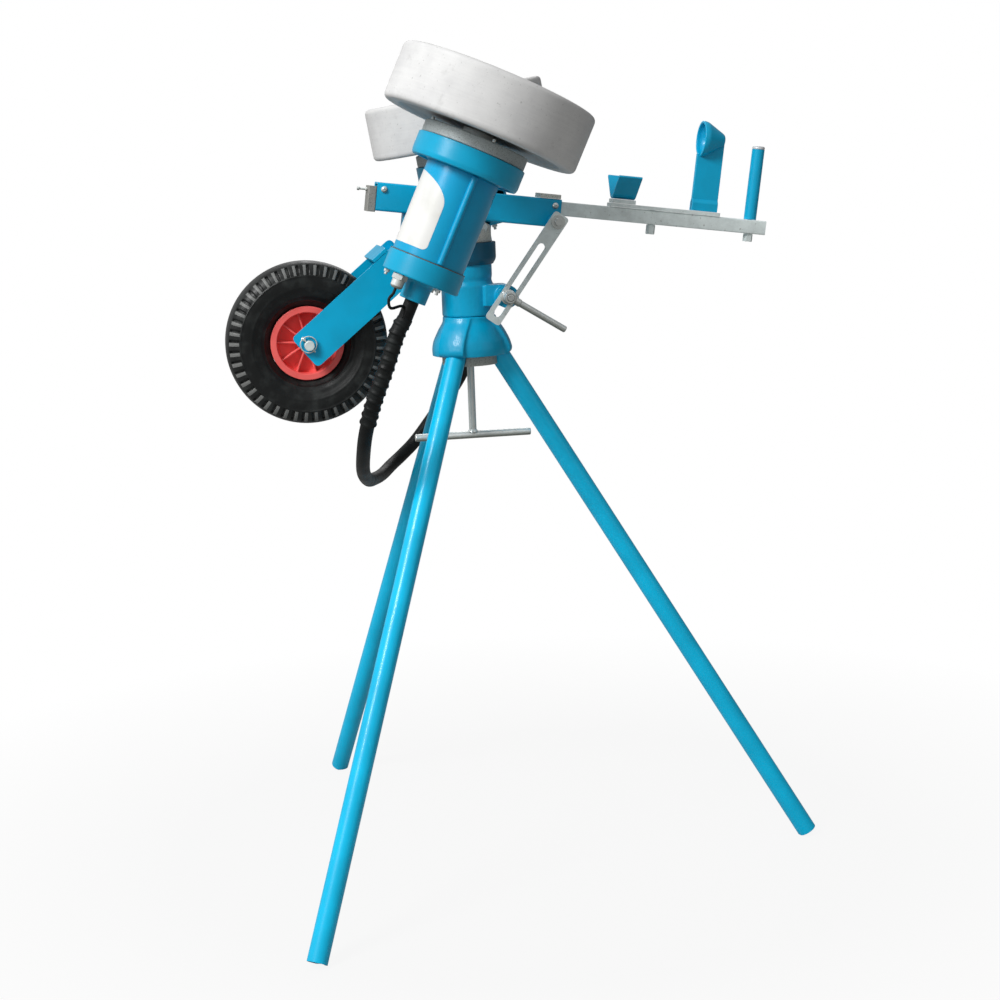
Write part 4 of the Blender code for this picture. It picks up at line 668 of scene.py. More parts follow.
lever_place = turret @ at(lug_x, 0.0, lug_z, turn_y=32.4)
hub = placed(turned([(0.012, 0.0643, 0.001), (0.012, 0.0663, 0.001), (0.0098, 0.0668, 0.0006),
                     (0.0098, 0.0853, 0.002), (0.0088, 0.0873, 0.001), (0.0058, 0.0873),
                     (0.0058, 0.0643)], 0.0005, 72), flat)
arm = placed(turned([(0.0, 0.104), (0.00525, 0.104, 0.003), (0.00525, 0.020, 0.0005),
                     (0.0062, 0.0185, 0.0005), (0.0062, 0.0085), (0.0, 0.0085)], 0.0005, 64),
             at(0.0, -0.0758, 0.0, turn_y=90.0))
add_piece("lever_nut", together(hub, arm), bright_steel, "lever",
          ["clamp_lever"], lever_place)

# The slotted link is a flat bar of dull zinc plated steel. It hangs on a bolt with a
# washer, and a spacer tube holds it out from the beam.
bolt_place = beam @ at(0.1074, 0.0, 0.0188)
link_place = bolt_place @ at(turn_y=-8.0)
stud_from_bolt = link_place.inverted() @ (turret @ Vector((lug_x, 0.0, lug_z)))
link_turn = degrees(atan2(-stud_from_bolt.x, -stud_from_bolt.z))
link_place = link_place @ at(turn_y=link_turn)


def slot_outline(x, top, bottom, half, steps=12):
    """A slot with round ends, along Z."""
    return ([(x + half * cos(pi * i / steps), top - half + half * sin(pi * i / steps))
             for i in range(steps + 1)]
            + [(x - half * cos(pi * i / steps), bottom + half - half * sin(pi * i / steps))
               for i in range(steps + 1)])


bar = worked(extruded(oblong(-0.0133, -0.187, 0.0133, 0.013, 0.006), 0.060, 0.064),
             less(extruded(slot_outline(0.0, -0.041, -0.177, 0.0062), 0.05, 0.07)),
             less(round_bar(bolt_hole, 0.05, 0.07, 0.0)), edge(0.0005))
# The outline's Y is the link's Z, so the flat turn stands it up
add_piece("link_bar", bar, zinc, "link", ["slotted_link"], link_place @ flat)
bolt = together(turned([(0.0, 0.0663), (0.011, 0.0663), (0.011, 0.0643), (0.0, 0.0643)], 0.0004,
                       64), hexagon(0.013, 0.0660, 0.0723), round_bar(0.004, 0.0162, 0.066))
add_piece("link_bolt_set", bolt, bright_steel, "head", ["link_bolt"],
          bolt_place @ flat)
add_piece("link_spacer_tube", round_ring(0.010, bolt_hole, 0.0225, 0.0597, 0.0008, 64), blue_paint,
          "head", ["link_spacer"], bolt_place @ flat)


# The beam is a square steel tube with rounded corners and a tongue welded under it for
# the pivot. A thinner square rail of zinc plated tube comes out of its feed end.
def square_tube(size, wall, corner, left, right, middle):
    """A square tube along X, its middle at a height."""
    half, inner = size / 2, size / 2 - wall
    shape = extruded(oblong(-half, -half, half, half, corner, 8), left, right,
                     oblong(-inner, -inner, inner, inner, max(corner - wall, 0.0005), 8))
    return placed(shape, at(z=middle) @ at(turn_y=90.0))


def weld(points, radius=0.0022):
    """A weld bead along a line: overlapping round drops of filler."""
    drops = []
    for first, second in zip(points, points[1:]):
        first, second = Vector(first), Vector(second)
        count = max(2, round((second - first).length / (radius * 0.9)))
        for i in range(count + 1):
            drop = bmesh.new()
            bmesh.ops.create_icosphere(drop, subdivisions=2, radius=radius)
            drops.append(placed(drop, Matrix.Translation(first.lerp(second, i / count))
                                @ Matrix.Diagonal((1.0, 1.0, 0.7, 1.0))))
    return together(*drops)


beam_z, beam_half = 0.0313, 0.022225
beam_under, beam_over = beam_z - beam_half, beam_z + beam_half
tube = worked(square_tube(0.04445, 0.003, 0.004, -0.177, 0.119, beam_z), edge(0.0004, 2, 60))
tongue = placed(worked(round_bar(0.016, -0.009, 0.009, 0.001, 96),
                       less(round_bar(bolt_hole, -0.02, 0.02, 0.0))),
                at(-0.0045, 0.0, -0.0005) @ flat)
tongue_neck = worked(block((-0.0205, -0.009, 0.004), (0.0115, 0.009, beam_under + 0.001)),
                     edge(0.0006))
seams = together(weld([(-0.0205, -0.0095, beam_under), (0.0115, -0.0095, beam_under)]),
                 weld([(-0.0205, 0.0095, beam_under), (0.0115, 0.0095, beam_under)]))
add_piece("beam_square_tube", together(tube, tongue, tongue_neck, seams), blue_paint, "head",
          ["beam_tube"], beam)

rail_size = 0.0222
handle_x = 0.436
rail_top = beam_over - 0.0033
rail_z = rail_top - rail_size / 2
slide_slot = extruded([(x, y) for y, x in slot_outline(0.0, 0.3178, 0.1932, bolt_hole)], 0.0, 0.1)
rail = worked(square_tube(rail_size, 0.0025, 0.0022, -0.060, 0.461, rail_z), less(slide_slot),
              less(placed(round_bar(bolt_hole, 0.0, 0.1, 0.0), at(handle_x))), edge(0.0003, 2, 60))
add_piece("rail_square_tube", rail, zinc, "head", ["rail"], beam)

plate = worked(block((0.083, -beam_half, beam_over + gap), (0.117, beam_half, beam_over + 0.0073),
                     0.0015), edge(0.0007))
add_piece("stop_plate", plate, pale_metal, "head", ["beam_plate"], beam)

for side, x, tip in (("right", 0.109, 0.0114), ("left", -0.166, 0.0162)):
    screw = turned([(0.0, beam_half + 0.0043), (0.0030, beam_half + 0.0040, 0.001),
                    (0.005, beam_half + 0.0020, 0.0015), (0.005, beam_half + gap),
                    (0.0025, beam_half + gap), (0.0025, tip), (0.0, tip)], 0.0004, 48)
    socket = extruded([(0.0016 * cos(pi * i / 3), 0.0016 * sin(pi * i / 3)) for i in range(6)],
                      beam_half + 0.0024, beam_half + 0.006)
    add_piece("side_screw_" + side, worked(screw, less(socket)), bright_steel, "head",
              ["beam_screw_" + side], beam @ at(x, 0.0, 0.0430) @ flat)

# The throw end is closed by a grey cover, held by a thumb screw that stands out of it.
grey_cover = casting("grey_plastic", (0.30, 0.30, 0.28), 0.0003)
cover = worked(block((-0.1903, -beam_half, 0.007), (-0.1773, beam_half, 0.047), 0.0018),
               less(placed(round_bar(0.0018, -0.2, 0.2, 0.0), at(z=0.041) @ at(turn_y=90.0))),
               edge(0.0010))
add_piece("end_cover_block", cover, grey_cover, "head", ["end_cover"], beam)
knob = turned([(0.0, 0.0), (0.003, 0.0), (0.003, 0.0035), (0.0018, 0.0040),
               (0.0018, 0.0130, 0.0002), (0.003, 0.0135), (0.003, 0.0160), (0.0015, 0.0160),
               (0.0015, 0.0324), (0.0, 0.0324)], 0.0005, 48)
add_piece("cover_thumb_screw", knob, bright_steel, "head", ["end_knob"],
          beam @ at(-0.2066, 0.0, 0.041) @ at(turn_y=90.0))


# The carriage slides on the rail: a flat zinc plated bar, a V shaped cradle of bent blue
# sheet on a base, and a pusher, a cup on a post and foot, welded of blue steel.
guide_x = 0.273
bar_low = rail_top + gap
bar_high = bar_low + 0.0057
slide = worked(block((0.200, -0.013, bar_low), (0.382, 0.013, bar_high), 0.0015),
               less(placed(round_bar(bolt_hole, 0.0, 0.2, 0.0), at(guide_x))), edge(0.0006))
add_piece("slide_flat_bar", slide, zinc, "carriage", ["slide_bar"], beam)

cradle_left, cradle_right = 0.203, 0.241
cradle_low = bar_high + gap
cradle_foot = cradle_low + 0.0065
foot = worked(block((cradle_left, -0.014, cradle_low), (cradle_right, 0.014, cradle_foot), 0.001),
              edge(0.0008))
add_piece("cradle_base_block", foot, zinc, "carriage", ["cradle_base"], beam)


def sheet_path(points, thick, corner=0.006, steps=8):
    """A bent sheet's outline: a path with a rounded fold, and half its thickness to each side."""
    path = [Vector(p) for p in rounded(points, corner, steps, closed=False)]
    sides = ([], [])
    for i, here in enumerate(path):
        along = (path[min(i + 1, len(path) - 1)] - path[max(i - 1, 0)]).normalized()
        across = Vector((-along.y, along.x)) * thick / 2
        sides[0].append(tuple(here + across))
        sides[1].append(tuple(here - across))
    return sides[0] + sides[1][::-1]


fold_z = cradle_foot + gap + 0.002 + 0.014
valley = fold_z - 0.014 * sqrt(2)
wings = [(-0.0398, valley + 0.0398), (0.0, valley), (0.0398, valley + 0.0398)]
shape = extruded(sheet_path(wings, 0.0038, 0.0164, 14), cradle_left, cradle_right)
# The outline's X and Y are the sheet's Y and Z, and it is drawn out along X
stand = Matrix(((0, 0, 1, 0), (1, 0, 0, 0), (0, 1, 0, 0), (0, 0, 0, 1)))
add_piece("cradle_sheet", worked(placed(shape, stand), edge(0.0008)), blue_paint, "carriage",
          ["cradle"], beam)

cup_z = 0.1705
post_left, post_right = 0.3355, 0.378
cup_place = at(0.339, 0.0, cup_z) @ at(turn_y=90.0)
hollow = [(0.0, -0.01), (0.0245, -0.01), (0.0245, 0.0), (0.0238, 0.0078, 0.004),
          (0.0050, 0.036, 0.003), (0.0, 0.036)]
post = worked(extruded(oblong(post_left, cradle_low, post_right, cup_z, 0.0008), -0.004, 0.004),
              edge(0.0008))
post = worked(placed(post, flat), less(placed(turned(hollow), cup_place)))
shoulder = [(-0.008, cradle_low), (0.008, cradle_low), (0.008, cradle_low + 0.013),
            (0.0042, cradle_low + 0.0188), (-0.0042, cradle_low + 0.0188),
            (-0.008, cradle_low + 0.013)]
shoe = placed(extruded(rounded(shoulder, 0.0012), post_left, post_right), stand)
cup = turned([(0.0, 0.039), (0.009, 0.039, 0.005), (0.0278, 0.0078, 0.004), (0.0285, 0.0, 0.0015),
              (0.0245, 0.0, 0.0015), (0.0238, 0.0078, 0.004), (0.005, 0.035, 0.003), (0.0, 0.035)],
             0.001, 112, 5)
add_piece("pusher_cup_and_post", together(post, worked(shoe, edge(0.0008)),
                                          placed(cup, cup_place)), blue_paint,
          "carriage", ["pusher"], beam)

rail_low = rail_z - rail_size / 2
stud = together(round_bar(0.004, rail_low - 0.001, bar_high, 0.0003, 48),
                hexagon(0.015, rail_low - 0.0158, rail_low - gap))
add_piece("guide_bolt", stud, zinc, "carriage", ["guide_stud"], beam @ at(guide_x))

# The aiming handle is a blue tube with a grey plug, held by a bolt up through the rail.
handle_place = beam @ at(handle_x)
tube = turned([(0.010, 0.1626), (0.010, rail_top + gap), (bolt_hole, rail_top + gap),
               (bolt_hole, 0.1476), (0.008, 0.1476), (0.008, 0.1626)], 0.0005, 80)
add_piece("handle_grip_tube", tube, blue_paint, "head", ["handle_tube"],
          handle_place)
plug = turned([(0.0, 0.1679), (0.0086, 0.1676, 0.003), (0.010, 0.1660, 0.001), (0.010, 0.1629),
               (0.0077, 0.1629), (0.0077, 0.1479), (0.0, 0.1479)], 0.0004, 80)
soft_grey = casting("plug_plastic", (0.66, 0.68, 0.70), 0.0001)
add_piece("handle_end_plug", plug, soft_grey, "head", ["handle_plug"],
          handle_place)
bolt = together(round_bar(0.004, rail_low - 0.001, 0.082, 0.0005, 48),
                hexagon(0.016, rail_low - 0.0128, rail_low - gap))
add_piece("handle_hex_bolt", bolt, zinc, "head", ["handle_bolt"], handle_place)


# Each throwing wheel is pale urethane cast on a core and ground on its tread, so that it
# shows streaks round its axis. It is clamped to the motor's hub by a bolted steel plate.
def round_places(finish, place, turns=1.0, across=1.0, along=1.0):
    """A piece's own angle, radius and height, each stretched, and its plain radius."""
    x, y, z = finish.parts(finish.mapped(place))
    radius = (x * x + y * y).maths("SQRT", x * x + y * y)
    angle = x.maths("ARCTAN2", y, x)
    return finish.node("ShaderNodeCombineXYZ", {
        0: angle * turns, 1: radius * across, 2: z * along}), radius


def urethane(side):
    place = motor_places[side]
    finish = Finish("pale_urethane_" + side, (0.59, 0.59, 0.59), 0.62, Specular_IOR_Level=0.3)
    streaks, radius = round_places(finish, place, 1.6, 300.0, 300.0)
    line = finish.noise(1.0, 5.0, streaks, 0.65)
    smudge = finish.noise(13.0, 6.0, roughness=0.62)
    shade = finish.spread(line * 0.25 + smudge * 0.75, 0.40, 0.60)
    pale = (0.68, 0.68, 0.675)
    face = finish.mix(shade, finish.colour, pale)
    worn = finish.spread(finish.noise(30.0, 7.0, roughness=0.7), 0.58, 0.72) * (radius > 0.1480)
    face = finish.mix(worn * 0.45, face, (0.36, 0.36, 0.35))
    specks = finish.spread(finish.noise(260.0, 3.0), 0.66, 0.74)
    face = finish.mix(specks * 0.5, face, (0.28, 0.28, 0.27))
    inner = finish.spread(radius, 0.1195, 0.1245, 1.0, 0.0)
    finish.feed("Base Color", finish.mix(inner * 0.55, face, (0.33, 0.33, 0.32)))
    finish.feed("Roughness", finish.spread(line, 0.3, 0.7, 0.52, 0.72))
    finish.feed("Normal", finish.bump(line * 0.5 + smudge * 0.5, 0.0003))
    return finish


# Copies of a shape in a ring round Z
ring_tree, given = geometry_tree("ring_of_copies", [
    ("Count", "NodeSocketInt", 8), ("First Turn", "NodeSocketFloat", 0.0),
    ("Finish", "NodeSocketMaterial", None)])
points = ring_tree.node("GeometryNodePoints", {"Count": given["Count"], "Radius": 0.001})
number = ring_tree.node("GeometryNodeInputIndex")
turn = number * (2 * pi) / given["Count"] + given["First Turn"]
copies = ring_tree.node("GeometryNodeInstanceOnPoints", {
    "Points": points, "Instance": given["Geometry"],
    "Rotation": ring_tree.node("ShaderNodeCombineXYZ", {2: turn})})
end_tree(ring_tree, copies, given["Finish"])


def ring_of(shape, count, first_turn=0.0, finish=None):
    """Copies of a shape round Z, the first turned by so many degrees."""
    mesh = bpy.data.meshes.new("copy")
    shape.to_mesh(mesh)
    shape.free()
    made = grown("ring", ring_tree.tree, {"Count": count, "First Turn": radians(first_turn),
                                          "Finish": (finish or blue_paint).material}, mesh)
    for face in made.faces:
        face.material_index = 0
    return made


motor_blue = paint("motor_blue", (0.0, 0.37, 0.66), 0.26)
motor_casting = paint("motor_casting_blue", (0.0, 0.38, 0.63), 0.28)
rough_bell = casting("rough_bell", (0.40, 0.44, 0.44), 0.0005)
white_panel = Finish("white_panel", (0.76, 0.76, 0.74), 0.32, Specular_IOR_Level=0.3)
white_panel.feed("Base Color", white_panel.mix(
    white_panel.spread(white_panel.noise(24.0, 4.0), 0.5, 0.75), white_panel.colour,
    (0.68, 0.68, 0.64)))
gasket_grey = casting("gasket_grey", (0.16, 0.16, 0.15), 0.0001)
magnet_grey = casting("magnet_grey", (0.16, 0.17, 0.18), 0.0002)

body_ends = {"near": -0.2387, "far": -0.1632}
cap_heights = {"near": 0.0330, "far": 0.0200}
bracket_downs = {"near": 0.1414, "far": 0.1364}


def at_turn(radius, turn, height=0.0):
    return at(radius * cos(radians(turn)), radius * sin(radians(turn)), height, turn_z=turn)


def wrapped_panel(middle_turn, half_turn, top, spring, low, radius, thick=0.0002, columns=90):
    """A thin label on a cylinder, with an arched top and rounded lower corners."""
    shape = bmesh.new()
    reach = radians(half_turn) * radius
    corner = 0.008
    rows = []
    for i in range(columns + 1):
        share = -cos(pi * i / columns)
        turn = radians(middle_turn + half_turn * share)
        high = spring + (top - spring) * sqrt(max(0.0, 1 - share ** 2))
        inset = max(0.0, abs(share) * reach - (reach - corner))
        under = low + corner - sqrt(max(0.0, corner ** 2 - inset ** 2))
        rows.append([[shape.verts.new((r * cos(turn), r * sin(turn), z)) for z in (under, high)]
                     for r in (radius, radius + thick)])
    for one, other in zip(rows, rows[1:]):
        (a, b), (c, d) = one
        (e, f), (g, h) = other
        for corners in ((a, b, f, e), (c, g, h, d), (b, d, h, f), (a, e, g, c)):
            shape.faces.new(corners)
    for (a, b), (c, d) in (rows[0], rows[-1]):
        shape.faces.new((a, b, d, c))
    bmesh.ops.recalc_face_normals(shape, faces=shape.faces)
    return shape


for side, place in motor_places.items():
    finish = urethane(side)
    tread = [(0.151, 0.0434, 0.009), (0.151, -0.0434, 0.009), (0.127, -0.0434, 0.002),
             (0.122, -0.0384, 0.003), (0.0263, -0.0384), (0.0263, 0.0384), (0.122, 0.0384, 0.003),
             (0.127, 0.0434, 0.002)]
    add_piece(side + "_wheel_tread", turned(tread, 0.0006, 192, 8), finish, side + "_wheel",
              [side + "_throwing_wheel"], place)
    end = body_ends[side]
    cap_top, cap_low = end - gap, end - gap - cap_heights[side]
    shaft = [(0.0, 0.0424, 0.0), (0.034, 0.0424, 0.001), (0.034, 0.0387), (0.026, 0.0387),
             (0.026, -0.0474), (0.0085, -0.0474), (0.0085, -0.1102), (0.0422, -0.1102, 0.001),
             (0.0422, end + 0.009, 0.001), (0.0085, end + 0.009), (0.0085, cap_top - 0.0113),
             (0.0, cap_top - 0.0113)]
    bolts = ring_of(placed(hexagon(0.0085, 0.0424, 0.0469), at(0.026)), 6)
    nut = hexagon(0.020, 0.0424, 0.0479)
    add_piece(side + "_hub_and_shaft", together(turned(shaft, 0.0005), bolts, nut), bright_steel,
              side + "_wheel", [side + "_rotor"], place)

    # The bell is rough cast iron, held down by four long bolts through the flange under it
    bell = round_ring(0.0805, 0.032, -0.0671, -0.0484, 0.0022, 128)
    add_piece(side + "_bell_casting", bell, rough_bell, "head",
              [side + "_end_bell"], place)
    tips = ring_of(placed(round_bar(0.0028, -0.0494, -0.0439, 0.0008, 24), at(0.0745)), 4, 10.0)
    add_piece(side + "_bell_bolts", tips, bright_steel, "head", (), place)
    rim = [(0.0835, -0.0674, 0.0012), (0.0835, -0.0949, 0.002), (0.0815, -0.1009, 0.002),
           (0.074, -0.1009, 0.001), (0.072, -0.0979, 0.002), (0.061, -0.0979, 0.003),
           (0.0575, -0.1009, 0.001), (0.0203, -0.1009), (0.0203, -0.0886), (0.0095, -0.0886),
           (0.0095, -0.0674)]
    add_piece(side + "_flange_casting", turned(rim, 0.0006, 128), motor_casting, "head",
              [side + "_mounting_flange"], place)

    # The housing is a steel tube with a seam bead along it and a plain white side panel
    top = -0.1012
    barrel = round_ring(0.056, 0.052, end, top, 0.0005, 128)
    bead_turn = -80.0 if side == "near" else 80.0
    bead = placed(round_bar(0.0048, end + 0.0005, top - 0.0005, 0.002, 32),
                  at_turn(0.0566, bead_turn))
    add_piece(side + "_housing_tube", together(barrel, bead), motor_blue, "head",
              [side + "_motor_housing"], place)
    if side == "near":
        panel = wrapped_panel(168.0, 85.0, top - 0.016, top - 0.060, top - 0.126, 0.0561)
        add_piece("near_side_panel", panel, white_panel, "head", (), place)
    gasket = round_ring(0.0588, 0.050, cap_top - 0.0012, cap_top, 0.0004, 128)
    add_piece(side + "_cap_gasket", gasket, gasket_grey, "head", (), place)
    boss_low = boss_ends[side]
    seat = cap_top - 0.0123 - gap
    cap = [(0.0595, cap_top - 0.0013, 0.001), (0.0595, cap_low, 0.003), (0.024, cap_low, 0.003),
           (0.021, cap_low - 0.004, 0.002), (0.0205, boss_low, 0.0015), (0.009, boss_low),
           (0.009, seat), (0.0203, seat), (0.0203, cap_top - 0.0013)]
    add_piece(side + "_cap_casting", turned(cap, 0.0006, 128, 5), motor_casting, "head",
              [side + "_motor_cap"], place)
    ends = together(placed(round_bar(0.0024, cap_low - 0.0085, cap_low + 0.002, 0.0008, 24),
                           at(0.0515)),
                    placed(hexagon(0.0088, cap_low - 0.0042, cap_low - 0.0002), at(0.0515)))
    add_piece(side + "_cap_bolts", ring_of(ends, 3, 176.0), bright_steel, "head",
              (), place)

    # An arm of dark blue square tube, welded to the beam, carries the motor by its side
    sign = -1 if side == "near" else 1
    inner, outer = sign * (beam_half + gap) - sign * 0.228, -sign * 0.028
    low_y, high_y = min(inner, outer), max(inner, outer)
    arm = extruded(oblong(-0.025, -0.019, 0.025, 0.019, 0.004, 6), low_y, high_y,
                   oblong(-0.021, -0.015, 0.021, 0.015, 0.001, 6))
    arm = placed(arm, at(z=-bracket_downs[side]) @ Matrix.Rotation(radians(-90), 4, "X"))
    seat = round_bar(0.0563, end - 0.01, top + 0.01, 0.0, 128)
    add_piece(side + "_arm_tube", worked(arm, less(seat), edge(0.0004, 2, 60)), dark_blue_paint,
              "head", [side + "_motor_bracket"], place)

for side in motor_places:
    for name in ("_upper_bearing", "_lower_bearing"):
        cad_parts[side + name].material_slots[0].material = bright_steel.material
    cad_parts[side + "_field_magnets"].material_slots[0].material = magnet_grey.material

# A bright cable gland stands on the near motor's lower face. A thin black lead goes from
# it into the top of the hose.
near_cap_low = body_ends["near"] - gap - 0.0330
gland_place = motor_places["near"] @ at_turn(0.0435, -141.0)
gland = together(hexagon(0.0235, near_cap_low - 0.0085, near_cap_low - 0.0002),
                 turned([(0.0, near_cap_low - 0.008), (0.0095, near_cap_low - 0.008),
                         (0.0095, near_cap_low - 0.018, 0.001),
                         (0.0065, near_cap_low - 0.0215, 0.002), (0.0030, near_cap_low - 0.0215),
                         (0.0, near_cap_low - 0.0205)], 0.0006, 64))
add_piece("cable_gland", gland, bright_steel, "head", (), gland_place)
into_hose = hose_line[0].lerp(hose_line[1], 0.75)
start = gland_place @ Vector((0.0, 0.0, near_cap_low - 0.0207))
down = (motor_places["near"].to_3x3() @ Vector((0.0, 0.0, -1.0))).normalized()
aim = into_hose - start
lead_points = smooth_route([start, start + down * 0.008, start + down * 0.022 - aim * 0.10,
                            start + down * 0.026 + aim * 0.15, into_hose - aim * 0.25,
                            into_hose], 10)
lead_length = sum((b - a).length for a, b in zip(lead_points, lead_points[1:]))
shape = grown("lead_form", tree.tree, {
    "Radius": 0.0022, "Band Radius": 0.0022, "Lip Radius": 0.0022, "First Band": 0.0,
    "Last Band": 0.0, "Step": 0.002, "Finish": rubber.material}, line_mesh(lead_points))
lead = add_piece("gland_lead", shape, rubber, "head", (), smooth=60.0)


# The transport wheel is a black tyre with a lugged shoulder on a red plastic rim. It runs
# on a zinc plated axle between two blue fork plates.
axle_place = beam @ at(-0.266, 0.0, -0.207)
tyre_half, bead_radius = 0.0425, 0.0588
section = [(bead_radius, 0.0211), (bead_radius + 0.0056, 0.0264), (0.0764, 0.0368),
           (0.0954, 0.0415), (0.1120, 0.0400), (0.1232, 0.0322), (0.1278, 0.0200), (0.1289, 0.0)]


def curve_through(points, steps=8):
    """A smooth line through points in a plane, as smooth_route draws one in space."""
    ends = [2 * Vector(points[0]) - Vector(points[1])] + [Vector(p) for p in points]
    ends.append(2 * ends[-1] - ends[-2])
    made = []
    for a, b, c, d in zip(ends, ends[1:], ends[2:], ends[3:]):
        made += [curve_point(a, b, c, d, i / steps) for i in range(steps)]
    return made + [ends[-2]]


notches, notch_steps = 45, 16
section_line = curve_through(section, 14)


def tyre_surface(p, out, turn):
    """The moulded surface at a place on the section: rings, and notches cut in the shoulder."""
    lift = 0.0
    for ring_radius, height in ((0.0695, 0.0010), (0.0890, 0.0006), (0.1065, 0.0008)):
        off = (p.x - ring_radius) / 0.0011
        lift += height * exp(-off * off)
    if p.y > 0.030:
        lift -= 0.0009 * exp(-((p.x - 0.0800) / 0.005) ** 2)
    step = turn % notch_steps
    if step in (0, 1, 2, 3, 4, 5) and 0.1085 < p.x < 0.1240:
        lift -= 0.0034 if step in (1, 2, 3, 4) else 0.0004
    return p + out * lift


def moulded_tyre():
    """The carcass as a grid of places round the section and round the axle."""
    shape = bmesh.new()
    count = notches * notch_steps
    rows = []
    for sign in (1, -1):
        half_rows = []
        for i, p in enumerate(section_line):
            along = (section_line[min(i + 1, len(section_line) - 1)]
                     - section_line[max(i - 1, 0)]).normalized()
            out = Vector((along.y, -along.x))
            out = -out if out.dot(p - Vector((0.095, 0.0))) < 0 else out
            if sign < 0 and i == len(section_line) - 1:
                continue
            row = []
            for turn in range(count):
                q = tyre_surface(p, out, turn + (4 if sign > 0 else 0))
                angle = 2 * pi * turn / count
                row.append(shape.verts.new((q.x * cos(angle), q.x * sin(angle),
                                            sign * min(q.y, tyre_half))))
            half_rows.append(row)
        rows += half_rows if sign > 0 else half_rows[::-1]
    for one, other in zip(rows, rows[1:] + rows[:1]):
        for i in range(count):
            j = (i + 1) % count
            shape.faces.new((one[i], one[j], other[j], other[i]))
    bmesh.ops.recalc_face_normals(shape, faces=shape.faces)
    return shape


tyre_black = Finish("tyre_rubber", (0.006, 0.007, 0.007), 0.30, Specular_IOR_Level=0.3)
dusty = tyre_black.noise(55.0, 5.0)
polar, radius = round_places(tyre_black, axle_place @ flat, notches / (2 * pi))
share = tyre_black.parts(polar)[0] % 1.0
# The notches are painted a paler grey. This is partly dust settled in the grooves and partly a
# painted highlight for the light that their slanted faces catch.
notch_dust_and_highlight = (radius > 0.1085) * (radius < 0.1240) * (share < 0.34)
chalky = tyre_black.mix(tyre_black.spread(dusty, 0.48, 0.75), tyre_black.colour,
                        (0.022, 0.025, 0.024))
tyre_black.feed("Base Color", tyre_black.mix(notch_dust_and_highlight * 0.75, chalky, (0.20, 0.205, 0.20)))
tyre_black.feed("Roughness", tyre_black.spread(dusty, 0.3, 0.7, 0.34, 0.52))
tyre_black.feed("Normal", tyre_black.bump(tyre_black.noise(500.0, 3.0), 0.0002))
add_piece("tyre_with_notches", moulded_tyre(), tyre_black, "transport_wheel",
          ["transport_tyre"], axle_place @ flat)

red_plastic = Finish("red_plastic", (0.97, 0.150, 0.138), 0.38, Specular_IOR_Level=0.4)
cloudy = red_plastic.spread(red_plastic.noise(35.0, 4.0), 0.4, 0.7)
red_plastic.feed("Base Color", red_plastic.mix(cloudy, red_plastic.colour, (0.88, 0.115, 0.105)))
red_plastic.feed("Roughness", red_plastic.spread(cloudy, 0.0, 1.0, 0.34, 0.50))
red_plastic.feed("Normal", red_plastic.bump(red_plastic.noise(350.0, 2.0), 0.0001))
rim_side = [(0.0585, 0.026, 0.0015), (0.0485, 0.026, 0.0015), (0.0475, 0.005, 0.003),
            (0.0440, 0.003, 0.002), (0.0180, 0.003, 0.004), (0.0140, 0.010, 0.002),
            (0.0130, 0.054, 0.001), (0.0083, 0.054, 0.0005)]
rim = rim_side + [(r, -h, edge_radius) for r, h, edge_radius in rim_side[::-1]]
rib_side = [(0.0120, -0.0182, 0.001), (0.0495, -0.0182, 0.001), (0.0495, 0.0182, 0.001),
            (0.0120, 0.0182, 0.001)]
rib = worked(placed(extruded(rounded(rib_side), -0.00125, 0.00125), flat), edge(0.0006))
add_piece("rim_with_ribs", together(turned(rim, 0.0006, 128, 5), ring_of(rib, 10, 4.0)),
          red_plastic, "transport_wheel", ["transport_rim"], axle_place @ flat)

fork_top = Vector((0.131, 0.141))
fork_length = fork_top.length
fork_place = axle_place @ at(turn_y=-degrees(atan2(fork_top.y, fork_top.x)))
pin_place = at(z=0.060 + gap + 0.0025 + 0.0032, turn_z=90.0, turn_y=90.0)
axle = worked(round_bar(0.008, -0.072, 0.072, 0.0015, 80),
              less(placed(round_bar(0.0019, -0.03, 0.03, 0.0, 24), pin_place)))
add_piece("axle_rod", axle, zinc, "head", ["transport_axle_rod"],
          fork_place @ flat)
washers = together(*(round_ring(0.0125, 0.0082, low, low + 0.0025, 0.0006, 64)
                     for low in (0.0603, -0.0628)))
add_piece("axle_washers", washers, blue_paint, "head", (), fork_place @ flat)


def wire_ring(radius, wire):
    """A ring of round wire about Z."""
    return lathe([(radius + wire * cos(a), wire * sin(a))
                  for a in [2 * pi * i / 16 for i in range(16)]], 64)


pin = together(round_bar(0.0016, -0.0136, 0.0136, 0.0003, 32),
               placed(wire_ring(0.0128, 0.0010), at(z=0.0020, turn_y=90.0)),
               placed(wire_ring(0.0026, 0.0009), at(z=0.0140, turn_y=90.0)))
add_piece("split_pin_ring", pin, bright_steel, "head", ["split_pin"],
          fork_place @ flat @ pin_place)

# Each fork plate is 5 mm steel with rounded corners, hung a little below the axle's line. A
# strap over their upper edges and a crosshead join the two, and a stem carries them.
fork_left, fork_right, fork_thick = -0.0135, fork_length + 0.0195, 0.005
fork_low, fork_high = -0.0350, 0.0260
for side, low in (("near", 0.055), ("far", -0.060)):
    outline = oblong(fork_left, fork_low, fork_right, fork_high, 0.0085, 8)
    plate = worked(extruded(outline, low, low + fork_thick),
                   less(round_bar(0.0083, low - 0.01, low + 0.02, 0.0)), edge(0.0008, 3, 50))
    add_piece("fork_side_" + side, plate, blue_paint, "head",
              ["fork_plate_" + side], fork_place @ flat)

